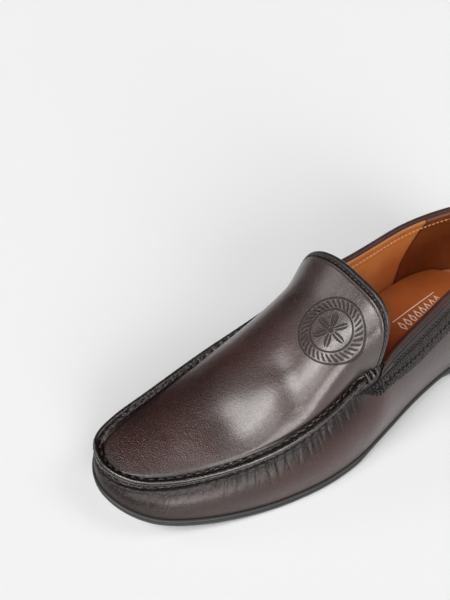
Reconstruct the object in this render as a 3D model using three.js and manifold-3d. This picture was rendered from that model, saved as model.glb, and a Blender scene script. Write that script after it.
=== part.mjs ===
// A man's slip-on moccasin, left shoe: a moc-toe driving loafer with a raised hand-sewn apron seam,
// a punched collar overlay and a thin rubber sole. Millimetres, +X to the toe, +Y to the outer
// (lateral) side, +Z up. The ground is Z = 0 and the origin is the middle of the shoe's plan.

import * as THREE from 'three';
import { mergeVertices } from 'three/addons/utils/BufferGeometryUtils.js';
import Module from 'manifold-3d';

const wasm = await Module();
wasm.setup();

// ---- Driving dimensions ----------------------------------------------------------------------

// Matched stations from the heel (row 0) to the toe (row 16). Each row pairs the sole's edge with
// the upper's rim, on the lateral and on the medial side: the rim is the topline up to row 8 and
// the crest of the moc seam in front of it.
const STATIONS = [
  // lateral sole, lateral rim, medial sole, medial rim
  [[-0.6, 0], [6, -1.5, 81], [-0.6, 0], [6, -1.5, 81]],
  [[4.5, 14], [11, 10, 80.6], [3, -15], [10, -11.5, 80.4]],
  [[17, 27], [23, 17.5, 78.6], [16, -31], [21, -19.5, 78]],
  [[38, 34.6], [41, 21.8, 75.9], [38, -37.8], [41, -26.3, 75.2]],
  [[62, 38], [62, 25.3, 73.3], [60, -37], [62, -29.8, 72.7]],
  [[86, 41], [86, 29.2, 67.4], [84, -34.3], [86, -29, 70.7]],
  [[108, 45.2], [107, 33.2, 63.6], [106, -32], [107, -28.1, 69.2]],
  [[125, 49.6], [125, 37.3, 61.3], [124, -32.3], [125, -30.2, 66.3]],
  [[139, 53.3], [139, 41.8, 59.9], [139, -34.3], [139.3, -33.4, 60.6]],
  [[158, 57.9], [156, 44.3, 54.3], [158, -37.6], [156, -33.2, 54.6]],
  [[182, 59.6], [180, 47.6, 47.3], [182, -43.7], [180, -33.8, 47.3]],
  [[208, 56.8], [204, 46.8, 41.7], [208, -48.7], [204, -34.3, 41.4]],
  [[234, 51], [226, 42.3, 37.6], [232, -46.8], [228, -32.4, 37.6]],
  [[258.5, 43], [247, 35.2, 34.9], [255, -40.3], [251, -29.2, 35.5]],
  [[278.5, 32.8], [265.5, 27, 33.6], [274, -32.8], [270, -26, 34.7]],
  [[291, 17.2], [281, 15.5, 33.1], [287.5, -20.5], [285.4, -19.5, 33.6]],
  [[295.2, -2], [289.6, -2.5, 33.1], [295.2, -2], [289.6, -2.5, 33.1]],
];
const TOE = 16;                 // station number of the toe tip
const TURN = 2 * TOE;           // stations once round the shoe
const CORNER = 8;               // station where the topline meets the apron
const COLUMN = 0.5;             // spacing of the mesh columns, in stations

const SOLE_EDGE = 6;            // sole and rand together at the forefoot
const HEEL_LIFT = 3;            // how much thicker the sole is at the heel
const ARCH_RISE = 1.5;          // how far the waist of the sole stands off the ground
const TOE_SPRING = 15.5;        // rise of the sole towards the toe tip
const SPRING_START = 205;       // where the sole begins to rise
const SPRING_RUN = 90;

const LEATHER = 1.5;            // outer leather
const STIFFENER = [-2, -2.65];  // counter, puff and padding, measured inwards from the outer face
const LINING = [-2.9, -3.9];
const OVERLAY = [1.3, 0.3];     // collar bands and the heel strip, outside the outer leather
const CLEAR = 0.3;              // gap between neighbouring layers

const RIDGE_HEIGHT = 4;         // height of the two lips of the moc seam
const RIDGE_LIP = 1.4;          // thickness of each lip
const SEAM_GAP = 0.2;           // each lip's distance from the seam's middle plane
const LIP_INSET = 0.2;          // how far the apron's edge reaches into its lip
const THROAT_RISE = 40.5;       // height of the throat's arch over its corners
const THROAT_LEAN = 6;          // how far the arch leans back
const THROAT_SQUARE = [4.5, 2]; // how square the arch is on its lateral and medial sides, 2 is round
const THROAT_STEEP = 0.52;      // how steeply the arch's sides rise, 1 is round and 0 is vertical
const COLLAR_BAND = 22;         // depth of the collar overlay
const MARGIN = 14;              // width of the upper's edge turned under the insole
const LAYER_START = 3.3;        // the inner layers of the wall start this far above the feather
const THREAD = 0.35;            // thread radius

const RAND = [-1.7, 0];         // heights of the flat layers, above the sole's feather edge
const FILLER = [-1.7, 0.4];
const SHANK = [0.7, 1.7];
const BOARD = [2, 3.6];
const FOAM = [3.9, 5.9];
const SOCK = [6.2, 7.2];
const SOCK_RIM = 1.6;           // how far the sock's edge cups upwards
const RIM_SHARE = 0.08;         // share of a flat layer's width that its rim takes on each side

const TREAD_GROOVES = [         // first groove, spacing and number, under the heel and the ball
  [12, 10.5, 6],
  [150, 9.4, 15],
];
const TREAD_WIDTH = 2.4;
const TREAD_DEPTH = 1.3;

// ---- Materials -------------------------------------------------------------------------------

function material(color, roughness, metalness = 0) {
  return new THREE.MeshStandardMaterial({ color, roughness, metalness });
}

const UPPER_LEATHER = material(0x3a2422, 0.38);
const EDGE_LEATHER = material(0x1d1616, 0.5);
const LINING_LEATHER = material(0xa3561f, 0.6);
const RUBBER = material(0x161515, 0.62);
const FIBRE = material(0x8a6d4c, 0.85);
const FOAM_STUFF = material(0xd8c9a8, 0.95);
const DARK_THREAD = material(0x171312, 0.7);
const TAN_THREAD = material(0xd07a2e, 0.7);
const STEEL = material(0x9a9da1, 0.35, 1);

// ---- Curves that the whole shoe is drawn from ------------------------------------------------

const UP = new THREE.Vector3(0, 0, 1);

function closedCurve(lateral, medial) {
  const points = STATIONS.map((row) => new THREE.Vector3(...row[lateral]));
  for (let k = TOE - 1; k > 0; k -= 1) points.push(new THREE.Vector3(...STATIONS[k][medial]));
  return new THREE.CatmullRomCurve3(points, true, 'centripetal');
}

const soleCurve = closedCurve(0, 2);
const rimCurve = closedCurve(1, 3);

function along(curve, u) {
  return curve.getPoint(THREE.MathUtils.euclideanModulo(u, TURN) / TURN);
}

function ramp(from, to, value) {
  return THREE.MathUtils.smoothstep(value, from, to);
}

// Horizontal direction out of the shoe, square to a curve at station u.
function outwards(curve, u) {
  const run = along(curve, u + 0.05).sub(along(curve, u - 0.05));
  return new THREE.Vector3(-run.y, run.x, 0).normalize();
}

function springZ(x) {
  return TOE_SPRING * Math.max(0, (x - SPRING_START) / SPRING_RUN) ** 2;
}

function treadZ(x) {
  return springZ(x) + ARCH_RISE * (ramp(76, 84, x) - ramp(112, 150, x));
}

function featherZ(x) {
  return springZ(x) + SOLE_EDGE + HEEL_LIFT * (1 - ramp(50, 140, x));
}

// Distance in stations from the toe tip, 0 at the tip and 8 at the two corners of the throat.
function fromToe(u) {
  return Math.abs(THREE.MathUtils.euclideanModulo(u, TURN) - TOE);
}

// The seam's own frame: up the lips, across them, and how high they stand.
function seamFrame(u) {
  const crest = along(rimCurve, u);
  const run = along(rimCurve, u + 0.05).sub(along(rimCurve, u - 0.05)).normalize();
  const tilt = THREE.MathUtils.degToRad(22 + 6 * Math.min(fromToe(u), CORNER));
  const rise = UP.clone().multiplyScalar(Math.cos(tilt));
  rise.addScaledVector(outwards(rimCurve, u), Math.sin(tilt));
  rise.addScaledVector(run, -rise.dot(run)).normalize();
  const across = rise.clone().cross(run).normalize();
  const height = RIDGE_HEIGHT * (1 - ramp(7, CORNER, fromToe(u)));
  const base = crest.addScaledVector(rise, -height);
  return { base, rise, across, height };
}

// A point in the seam's frame: `side` across it, outwards positive, and `high` up the lips.
function seamPoint(u, side, high) {
  const frame = seamFrame(u);
  return frame.base.addScaledVector(frame.across, side).addScaledVector(frame.rise, high);
}

// ---- The wall of the upper: u stations round the shoe, v from the feather (0) to the rim (1) ---

function wallPoint(u, v) {
  const foot = along(soleCurve, u).addScaledVector(outwards(soleCurve, u), -1);
  foot.z = featherZ(foot.x) + CLEAR;
  const chord = seamFrame(u).base.sub(foot);
  const run = along(rimCurve, u + 0.05).sub(along(rimCurve, u - 0.05));
  const out = chord.clone().cross(run).normalize();
  const bulge = Math.min(0.13 * chord.length(), 4.5);
  return foot.addScaledVector(chord, v).addScaledVector(out, bulge * Math.sin(Math.PI * v));
}

function wallHeight(u) {
  return wallPoint(u, 1).sub(wallPoint(u, 0)).length();
}

function wallNormal(u, v) {
  const low = Math.max(v - 0.02, 0);
  const high = Math.min(v + 0.02, 1);
  const climb = wallPoint(u, high).sub(wallPoint(u, low));
  const run = wallPoint(u + 0.05, v).sub(wallPoint(u - 0.05, v));
  const normal = climb.cross(run).normalize();
  if (v < 0.98) return normal;
  const inFront = 1 - ramp(7.2, CORNER, fromToe(u));
  return normal.lerp(seamFrame(u).rise, inFront).normalize();
}

// A point of a layer that lies `offset` outside the wall's outer face (inside when negative).
function wallLayer(u, v, offset) {
  const point = wallPoint(u, v).addScaledVector(wallNormal(u, v), offset);
  const atSeam = v > 0.98 && fromToe(u) < CORNER;
  return atSeam ? point.addScaledVector(seamFrame(u).across, SEAM_GAP) : point;
}

// ---- The apron: s from the throat (0) to the toe (1), turn from lateral (0) to medial (pi) -----

function apronPoint(s, turn) {
  const lateral = seamPoint(CORNER + s * CORNER, -SEAM_GAP - LIP_INSET, 0);
  const medial = seamPoint(TURN - CORNER - s * CORNER, -SEAM_GAP - LIP_INSET, 0);
  const forward = ramp(0, 0.5, s);
  const cosine = Math.cos(turn);
  const square = THREE.MathUtils.lerp(THROAT_SQUARE[cosine > 0 ? 0 : 1], 2, forward);
  const t = Math.sign(cosine) * Math.abs(cosine) ** (2 / square);
  const arch = Math.sin(turn) ** THREE.MathUtils.lerp(THROAT_STEEP, 1.3, forward);
  const crown = THROAT_RISE * (1 - s) ** 2 + 6 * s * (1 - s);
  const point = lateral.lerp(medial, (1 - t) / 2);
  point.z += crown * arch;
  point.x -= THROAT_LEAN * arch * (1 - s) ** 6;
  return point;
}

function apronNormal(s, turn) {
  const side = turn < Math.PI / 2 ? CORNER + s * CORNER : TURN - CORNER - s * CORNER;
  if (turn < 0.01 || turn > Math.PI - 0.01 || s > 0.99) return seamFrame(side).rise;
  const ahead = apronPoint(Math.min(s + 0.01, 1), turn).sub(apronPoint(Math.max(s - 0.01, 0), turn));
  const over = apronPoint(s, turn + 0.02).sub(apronPoint(s, turn - 0.02));
  return over.cross(ahead).normalize();
}

function apronLayer(s, turn, offset) {
  return apronPoint(s, turn).addScaledVector(apronNormal(s, turn), offset);
}

// ---- Solid builders --------------------------------------------------------------------------

function spread(from, to, steps) {
  return Array.from({ length: steps + 1 }, (_, k) => from + ((to - from) * k) / steps);
}

// Mesh columns from one station to another, on the columns that all the layers share.
function columns(from, to) {
  const inner = [];
  for (let u = Math.ceil(from / COLUMN + 0.01) * COLUMN; u < to - 0.01; u += COLUMN) inner.push(u);
  return [from, ...inner, to];
}

function signedVolume(position, index) {
  const a = new THREE.Vector3();
  const b = new THREE.Vector3();
  const c = new THREE.Vector3();
  let volume = 0;
  for (let k = 0; k < index.length; k += 3) {
    a.fromBufferAttribute(position, index[k]);
    b.fromBufferAttribute(position, index[k + 1]);
    c.fromBufferAttribute(position, index[k + 2]);
    volume += a.dot(b.cross(c));
  }
  return volume;
}

// A closed solid through a row of rings. Each ring runs along one face and back along the other,
// so that the ends of an open row close as strips.
function loft(rings, closed = false) {
  const size = rings[0].length;
  const positions = rings.flat().flatMap((point) => point.toArray());
  const faces = [];
  const quad = (a, b, c, d) => faces.push([a, b, c], [a, c, d]);
  for (let i = 0; i < rings.length - (closed ? 0 : 1); i += 1) {
    const next = (i + 1) % rings.length;
    for (let j = 0; j < size; j += 1) {
      const over = (j + 1) % size;
      quad(i * size + j, next * size + j, next * size + over, i * size + over);
    }
  }
  if (!closed) {
    const last = (rings.length - 1) * size;
    for (let j = 0; j < size / 2 - 1; j += 1) {
      quad(j, j + 1, size - 2 - j, size - 1 - j);
      quad(last + j, last + size - 1 - j, last + size - 2 - j, last + j + 1);
    }
  }
  const raw = new THREE.BufferGeometry();
  raw.setAttribute('position', new THREE.Float32BufferAttribute(positions, 3));
  raw.setIndex(faces.flat());
  const merged = mergeVertices(raw, 1e-3);
  const index = [...merged.index.array];
  const whole = [];
  for (let k = 0; k < index.length; k += 3) {
    const [a, b, c] = index.slice(k, k + 3);
    if (a !== b && b !== c && a !== c) whole.push([a, b, c]);
  }
  const inverted = signedVolume(merged.attributes.position, whole.flat()) < 0;
  merged.setIndex(whole.flatMap(([a, b, c]) => (inverted ? [a, c, b] : [a, b, c])));
  return merged;
}

// A band of the wall between two stations, from one height to another, as thick as its layer.
function wallBand(from, to, heights, [outer, inner]) {
  const rings = columns(from, to).map((u) => {
    const rows = heights(u);
    const front = rows.map((v) => wallLayer(u, v, outer));
    const back = rows.map((v) => wallLayer(u, v, inner)).reverse();
    return [...front, ...back];
  });
  return loft(rings);
}

// A flat layer that follows the sole's spring: its outline at each station, and two heights
// above the feather edge. `cup` lifts the two sides of the layer, less where it narrows.
function plate(outline, [low, high], cup = 0) {
  const rings = [];
  for (let u = 0; u <= TOE; u += COLUMN) {
    const lateral = outline(u);
    const medial = outline(TURN - u);
    const inset = [0, RIM_SHARE, 1 - RIM_SHARE, 1].map((w) => lateral.clone().lerp(medial, w));
    const level = (point, height) => point.clone().setZ(featherZ(point.x) + height);
    const side = cup * ramp(0, 30, lateral.distanceTo(medial));
    const lift = [side, 0, 0, side];
    const top = inset.map((point, k) => level(point, high + lift[k]));
    const bottom = inset.map((point, k) => level(point, low + lift[k])).reverse();
    rings.push([...top, ...bottom]);
  }
  return loft(rings);
}

function edgeInset(distance) {
  return (u) => along(soleCurve, u).addScaledVector(outwards(soleCurve, u), -distance);
}

// The outline of a layer inside the shoe, just clear of the lining from one height over the
// feather to another. Near the toe it stops short, where the apron comes down to the wall.
function insideLining(low, high) {
  return (u) => {
    const floor = wallPoint(u, 0).z;
    const out = outwards(soleCurve, u);
    const faces = spread(0.02, 0.95, 30).map((v) => wallLayer(u, v, LINING[1]));
    const beside = faces.filter((face) => face.z > floor + low && face.z < floor + high);
    const tightest = (beside.length ? beside : faces.slice(-1))
      .reduce((best, face) => (face.dot(out) < best.dot(out) ? face : best));
    tightest.addScaledVector(out, -0.6);
    tightest.x -= 6 * (1 - ramp(0, 2.2, fromToe(u)));
    return tightest.setZ(0);
  };
}

// A round thread along a row of points.
function threadAlong(points) {
  const rings = points.map((point, k) => {
    const before = points[Math.max(k - 1, 0)];
    const after = points[Math.min(k + 1, points.length - 1)];
    const run = after.clone().sub(before).normalize();
    const side = run.clone().cross(UP).normalize();
    const over = side.clone().cross(run);
    return [45, 135, 225, 315].map((degrees) => {
      const angle = THREE.MathUtils.degToRad(degrees);
      const out = side.clone().multiplyScalar(Math.cos(angle)).addScaledVector(over, Math.sin(angle));
      return point.clone().addScaledVector(out, THREAD);
    });
  });
  return loft(rings);
}

// ---- Joining and cutting ---------------------------------------------------------------------

function toManifold(geometry) {
  const bare = geometry.clone();
  bare.deleteAttribute('normal');
  bare.deleteAttribute('uv');
  const merged = mergeVertices(bare, 1e-3);
  const vertProperties = new Float32Array(merged.attributes.position.array);
  const triVerts = new Uint32Array(merged.index.array);
  return new wasm.Manifold(new wasm.Mesh({ numProp: 3, vertProperties, triVerts }));
}

function fromManifold(solid) {
  const mesh = solid.getMesh();
  const geometry = new THREE.BufferGeometry();
  geometry.setAttribute('position', new THREE.Float32BufferAttribute(mesh.vertProperties, 3));
  geometry.setIndex([...mesh.triVerts]);
  return geometry;
}

// ---- Sole ------------------------------------------------------------------------------------

function outsole() {
  const rings = [];
  for (let u = 0; u <= TOE; u += COLUMN) {
    const lateral = edgeInset(0)(u);
    const medial = edgeInset(0)(TURN - u);
    const level = (point, z) => point.clone().setZ(z);
    const top = featherZ(lateral.x) + RAND[0] - CLEAR;
    rings.push([
      level(lateral, top),
      level(medial, featherZ(medial.x) + RAND[0] - CLEAR),
      level(medial, treadZ(medial.x)),
      level(lateral, treadZ(lateral.x)),
    ]);
  }
  let solid = toManifold(loft(rings));
  for (const [first, spacing, number] of TREAD_GROOVES) {
    for (let k = 0; k < number; k += 1) {
      const x = first + spacing * k;
      const bar = new THREE.BoxGeometry(TREAD_WIDTH, 140, 2 * TREAD_DEPTH);
      const slope = (springZ(x + 1) - springZ(x - 1)) / 2;
      bar.rotateY(-Math.atan(slope));
      bar.translate(x, 0, treadZ(x));
      solid = solid.subtract(toManifold(bar));
    }
  }
  return fromManifold(solid);
}

function weltRand() {
  const outer = edgeInset(0.3);
  const inner = edgeInset(MARGIN - CLEAR);
  const rings = [];
  for (let u = 0; u < TURN; u += COLUMN) {
    const a = outer(u);
    const b = inner(u);
    const level = (point, height) => point.clone().setZ(featherZ(point.x) + height);
    rings.push([level(a, RAND[0]), level(a, RAND[1]), level(b, RAND[1]), level(b, RAND[0])]);
  }
  return loft(rings, true);
}

function shank() {
  const rings = spread(38, 148, 22).map((x) => {
    const middle = 1.5 + 0.02 * x;
    const half = 7 * Math.sqrt(1 - ((x - 93) / 60) ** 4);
    const level = (y, height) => new THREE.Vector3(x, y, featherZ(x) + height);
    return [
      level(middle + half, SHANK[0]),
      level(middle - half, SHANK[0]),
      level(middle - half, SHANK[1]),
      level(middle + half, SHANK[1]),
    ];
  });
  return loft(rings);
}

// ---- Upper -----------------------------------------------------------------------------------

// One lip of the moc seam, rooted a little into the leather that it rises from.
function seamLip(near, far) {
  const root = -0.9;
  const stations = columns(CORNER + 0.3, TURN - CORNER - 0.3);
  return loft(stations.map((u) => {
    const top = seamFrame(u).height;
    const corners = [[near, root], [near, top], [far, top], [far, root]];
    return corners.map(([side, high]) => seamPoint(u, side, high));
  }));
}

// The one-piece wall: turned-in margin under the insole, feather, wall and its lip of the seam.
function wallUpper() {
  const rows = [0.08, 0.25, 0.45, 0.65, 0.85, 1];
  const folded = CLEAR + LEATHER - 0.2;
  const rings = [];
  for (let u = 0; u < TURN; u += COLUMN) {
    const under = (inset, height) => {
      const point = edgeInset(inset)(u);
      return point.setZ(featherZ(point.x) + height);
    };
    const outer = [under(MARGIN, CLEAR), under(1, CLEAR), ...rows.map((v) => wallLayer(u, v, 0))];
    const inner = [
      under(MARGIN, folded),
      under(1 + LEATHER, folded),
      ...rows.map((v) => wallLayer(u, v, -LEATHER)),
    ];
    rings.push([...outer, ...inner.reverse()]);
  }
  const lip = seamLip(SEAM_GAP, SEAM_GAP + RIDGE_LIP);
  return fromManifold(toManifold(loft(rings, true)).add(toManifold(lip)));
}

// The part of the apron between its two seams, as thick as its layer.
function apronSheet([outer, inner]) {
  const turns = spread(0, Math.PI, 14);
  const rings = spread(0, 1, TOE).map((s) => [
    ...turns.map((turn) => apronLayer(s, turn, outer)),
    ...turns.map((turn) => apronLayer(s, turn, inner)).reverse(),
  ]);
  return loft(rings);
}

function apronPlug() {
  const lip = seamLip(-SEAM_GAP - RIDGE_LIP, -SEAM_GAP);
  return fromManifold(toManifold(apronSheet([0, -LEATHER])).add(toManifold(lip)));
}

// The punched band along the topline, tapering away past the apron's corner.
function collarOverlay(from, to) {
  return wallBand(from, to, (u) => {
    const depth = COLLAR_BAND * (0.66 + 0.34 * ramp(7.8, 9.3, fromToe(u)));
    return spread(1 - depth / wallHeight(u), 0.975, 3);
  }, OVERLAY);
}

function heelBackstay() {
  return wallBand(-0.5, 0.5, () => spread(0.03, 0.97, 8), OVERLAY);
}

// The folded strip that covers the top edges of all the layers of the collar.
function toplineBinding() {
  const rings = columns(-CORNER + 0.3, CORNER - 0.3).map((u) => {
    const corner = (offset, lift) => wallLayer(u, 1, offset).addScaledVector(UP, lift);
    return [corner(1.3, 0.35), corner(1.3, 1.3), corner(-3.9, 1.3), corner(-3.9, 0.35)];
  });
  return loft(rings);
}

function heelCounter() {
  return wallBand(-4, 4, (u) => spread(LAYER_START / wallHeight(u), 1 - 21 / wallHeight(u), 4), STIFFENER);
}

function collarFoam(from, to) {
  return wallBand(from, to, (u) => spread(1 - 18 / wallHeight(u), 1 - 2 / wallHeight(u), 3), STIFFENER);
}

function toePuff() {
  return wallBand(12, 20, (u) => spread(LAYER_START / wallHeight(u), 1, 3).slice(0, 3), STIFFENER);
}

function wallLining(from, to, steps) {
  return wallBand(from, to, (u) => spread(LAYER_START / wallHeight(u), 1, steps), LINING);
}

// ---- Threads ---------------------------------------------------------------------------------

function seamThread(side) {
  const stations = columns(CORNER + 0.9, TURN - CORNER - 0.9);
  return threadAlong(stations.map((u) => seamPoint(u, side, RIDGE_HEIGHT * 0.6)));
}

// The wrapped end of the seam at one corner of the throat, saddled over both lips.
function barTack(from, to) {
  return loft(columns(from, to).map((u) => {
    const low = seamFrame(u).height + CLEAR;
    const corner = (side, high) => seamPoint(u, side, high);
    return [corner(-2, low), corner(-1.4, low + 1.2), corner(1.4, low + 1.2), corner(2, low)];
  }));
}

function throatThread() {
  return threadAlong(spread(0.1, Math.PI - 0.1, 28).map((turn) => apronLayer(0.024, turn, 0.85)));
}

function wallThread(from, to, depth, offset) {
  return threadAlong(columns(from, to).map((u) => wallLayer(u, 1 - depth / wallHeight(u), offset)));
}

// ---- The shoe --------------------------------------------------------------------------------

const LATERAL = [0.62, CORNER - 0.4];
const MEDIAL = [TURN - CORNER + 0.4, TURN - 0.62];
const HEEL_LINING_END = 3;
const SEAM_THREAD_SIDE = SEAM_GAP + RIDGE_LIP + CLEAR + THREAD + 0.1;

const PIECES = [
  ['outsole', outsole(), RUBBER],
  ['welt_rand', weltRand(), RUBBER],
  ['bottom_filler', plate(edgeInset(MARGIN + CLEAR), FILLER), FOAM_STUFF],
  ['shank', shank(), STEEL],
  ['insole_board', plate(insideLining(1, 5), BOARD), FIBRE],
  ['footbed_foam', plate(insideLining(3, 8), FOAM), FOAM_STUFF],
  ['sock_liner', plate(insideLining(5, 11), SOCK, SOCK_RIM), LINING_LEATHER],
  ['wall_upper', wallUpper(), UPPER_LEATHER],
  ['apron_plug', apronPlug(), UPPER_LEATHER],
  ['collar_overlay_lateral', collarOverlay(...LATERAL), EDGE_LEATHER],
  ['collar_overlay_medial', collarOverlay(...MEDIAL), EDGE_LEATHER],
  ['heel_backstay', heelBackstay(), UPPER_LEATHER],
  ['topline_binding', toplineBinding(), EDGE_LEATHER],
  ['heel_counter', heelCounter(), FIBRE],
  ['toe_puff', toePuff(), FIBRE],
  ['collar_foam_lateral', collarFoam(0.2, 7), FOAM_STUFF],
  ['collar_foam_medial', collarFoam(TURN - 7, TURN - 0.2), FOAM_STUFF],
  ['heel_lining', wallLining(-HEEL_LINING_END, HEEL_LINING_END, 5), LINING_LEATHER],
  ['quarter_lining_lateral', wallLining(HEEL_LINING_END + 0.04, CORNER - 0.02, 5), LINING_LEATHER],
  [
    'quarter_lining_medial',
    wallLining(TURN - CORNER + 0.02, TURN - HEEL_LINING_END - 0.04, 5),
    LINING_LEATHER,
  ],
  ['vamp_lining', wallLining(CORNER + 0.02, TURN - CORNER - 0.02, 3), LINING_LEATHER],
  ['apron_lining', apronSheet([-2.9, -3.9]), LINING_LEATHER],
  ['moc_seam_thread_outer', seamThread(SEAM_THREAD_SIDE), DARK_THREAD],
  ['moc_seam_thread_inner', seamThread(-SEAM_THREAD_SIDE), DARK_THREAD],
  ['bar_tack_lateral', barTack(CORNER + 0.3, CORNER + 0.7), DARK_THREAD],
  ['bar_tack_medial', barTack(TURN - CORNER - 0.7, TURN - CORNER - 0.3), DARK_THREAD],
  ['throat_thread', throatThread(), DARK_THREAD],
  ['collar_thread_lateral', wallThread(LATERAL[0], LATERAL[1] - 0.3, 8, 2.1), DARK_THREAD],
  ['collar_thread_medial', wallThread(MEDIAL[0] + 0.3, MEDIAL[1], 8, 2.1), DARK_THREAD],
  ['lining_thread_lateral', wallThread(0.2, CORNER - 0.4, 5, -4.7), TAN_THREAD],
  ['lining_thread_medial', wallThread(TURN - CORNER + 0.4, TURN - 0.2, 5, -4.7), TAN_THREAD],
];

const shoe = new THREE.Group();
for (const [name, geometry, look] of PIECES) {
  const mesh = new THREE.Mesh(geometry, look);
  mesh.name = name;
  shoe.add(mesh);
}
const bounds = new THREE.Box3().setFromObject(shoe);
const middle = bounds.getCenter(new THREE.Vector3());
shoe.position.set(-middle.x, -middle.y, -bounds.min.z);
shoe.updateMatrixWorld(true);

export default shoe;
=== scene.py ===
"""Looks of a man's slip-on moccasin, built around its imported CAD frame. Metres, +X toe, +Y lateral."""

import math

import bmesh
import bpy
import numpy as np
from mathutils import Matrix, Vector


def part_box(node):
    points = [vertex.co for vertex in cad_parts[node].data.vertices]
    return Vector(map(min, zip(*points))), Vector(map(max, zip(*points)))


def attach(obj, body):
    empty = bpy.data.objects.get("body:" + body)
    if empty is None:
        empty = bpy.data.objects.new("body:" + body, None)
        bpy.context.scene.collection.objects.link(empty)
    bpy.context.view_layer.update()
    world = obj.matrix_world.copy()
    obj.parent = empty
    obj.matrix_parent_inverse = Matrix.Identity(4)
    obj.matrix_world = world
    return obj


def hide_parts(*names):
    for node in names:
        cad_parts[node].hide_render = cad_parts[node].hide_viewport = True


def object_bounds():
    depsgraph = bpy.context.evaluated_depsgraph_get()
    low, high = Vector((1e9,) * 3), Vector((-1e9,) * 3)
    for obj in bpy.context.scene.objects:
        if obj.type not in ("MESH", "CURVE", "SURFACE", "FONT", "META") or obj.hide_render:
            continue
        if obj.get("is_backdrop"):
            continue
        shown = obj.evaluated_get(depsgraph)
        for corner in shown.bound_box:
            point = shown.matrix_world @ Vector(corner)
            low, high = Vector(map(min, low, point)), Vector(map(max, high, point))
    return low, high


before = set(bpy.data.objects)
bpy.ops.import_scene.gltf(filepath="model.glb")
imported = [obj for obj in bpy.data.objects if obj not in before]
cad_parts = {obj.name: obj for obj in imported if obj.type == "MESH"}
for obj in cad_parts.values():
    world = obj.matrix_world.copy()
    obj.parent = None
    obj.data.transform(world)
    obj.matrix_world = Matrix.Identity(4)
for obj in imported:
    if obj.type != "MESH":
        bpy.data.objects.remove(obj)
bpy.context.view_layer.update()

# ---- Driving dimensions ----

# Matched stations from the heel (row 0) to the toe (row 16): lateral sole edge, lateral rim, medial
# sole edge and medial rim, in the last's own frame, whose X = 0 is the back of the heel.
STATIONS = [
    ((-0.0006, 0.0), (0.006, -0.0015, 0.081), (-0.0006, 0.0), (0.006, -0.0015, 0.081)),
    ((0.0045, 0.014), (0.011, 0.010, 0.0806), (0.003, -0.015), (0.010, -0.0115, 0.0804)),
    ((0.017, 0.027), (0.023, 0.0175, 0.0786), (0.016, -0.031), (0.021, -0.0195, 0.078)),
    ((0.038, 0.0346), (0.041, 0.0218, 0.0759), (0.038, -0.0378), (0.041, -0.0263, 0.0752)),
    ((0.062, 0.038), (0.062, 0.0253, 0.0733), (0.060, -0.037), (0.062, -0.0298, 0.0727)),
    ((0.086, 0.041), (0.086, 0.0292, 0.0674), (0.084, -0.0343), (0.086, -0.029, 0.0707)),
    ((0.108, 0.0452), (0.107, 0.0332, 0.0636), (0.106, -0.032), (0.107, -0.0281, 0.0692)),
    ((0.125, 0.0496), (0.125, 0.0373, 0.0613), (0.124, -0.0323), (0.125, -0.0302, 0.0663)),
    ((0.139, 0.0533), (0.139, 0.0418, 0.0599), (0.139, -0.0343), (0.1393, -0.0334, 0.0606)),
    ((0.158, 0.0579), (0.156, 0.0443, 0.0543), (0.158, -0.0376), (0.156, -0.0332, 0.0546)),
    ((0.182, 0.0596), (0.180, 0.0476, 0.0473), (0.182, -0.0437), (0.180, -0.0338, 0.0473)),
    ((0.208, 0.0568), (0.204, 0.0468, 0.0417), (0.208, -0.0487), (0.204, -0.0343, 0.0414)),
    ((0.234, 0.051), (0.226, 0.0423, 0.0376), (0.232, -0.0468), (0.228, -0.0324, 0.0376)),
    ((0.2585, 0.043), (0.247, 0.0352, 0.0349), (0.255, -0.0403), (0.251, -0.0292, 0.0355)),
    ((0.2785, 0.0328), (0.2655, 0.027, 0.0336), (0.274, -0.0328), (0.270, -0.026, 0.0347)),
    ((0.291, 0.0172), (0.281, 0.0155, 0.0331), (0.2875, -0.0205), (0.2854, -0.0195, 0.0336)),
    ((0.2952, -0.002), (0.2896, -0.0025, 0.0331), (0.2952, -0.002), (0.2896, -0.0025, 0.0331)),
]
TOE = 16                # station number of the toe tip
TURN = 2 * TOE          # stations once round the shoe
CORNER = 8              # station where the topline meets the apron

SOLE_EDGE = 0.006       # sole and rand together at the forefoot
HEEL_LIFT = 0.003
ARCH_RISE = 0.0015
TOE_SPRING = 0.0155
SPRING_START = 0.205
SPRING_RUN = 0.09

LEATHER = 0.0015
CLEAR = 0.0003
RIDGE_HEIGHT = 0.004    # height of the moc seam's lips over the leather beside them
SEAM_END = 7            # stations from the toe where the lips begin to sink
THROAT_RISE = 0.0405
THROAT_LEAN = 0.006
THROAT_SQUARE = (4.5, 2.0)      # lateral and medial
THROAT_STEEP = 0.52
UP = np.array([0, 0, 1.0])
COLLAR_BAND = 0.022
STITCH_PITCH = 0.0055   # hand-sewn stitches of the moc seam
APRON_EDGE = 0.0004     # the apron sheet's edge, from the seam's middle plane

# Where the last's frame sits in the row frame: the outsole's box gives both.
sole_low, sole_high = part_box("outsole")
LAST_X = sole_low.x + 0.0006
LAST_Y = sole_high.y - 0.05963

rng = np.random.default_rng(7)

# ---- Curves that the whole shoe is drawn from ----

CURVE_SAMPLES = 4096
SOFTEN = 0.22           # how far the stations' corners are smoothed, in stations
NUDGE = 0.05            # stations to either side that give a curve's direction


def ramp(start, end, value):
    """Smooth step from 0 at start to 1 at end."""
    t = np.clip((value - start) / (end - start), 0, 1)
    return t * t * (3 - 2 * t)


def bell(away, width):
    """1 where `away` is 0, and nearly 0 from twice the width on."""
    return np.exp(-(away / width) ** 2)


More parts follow.
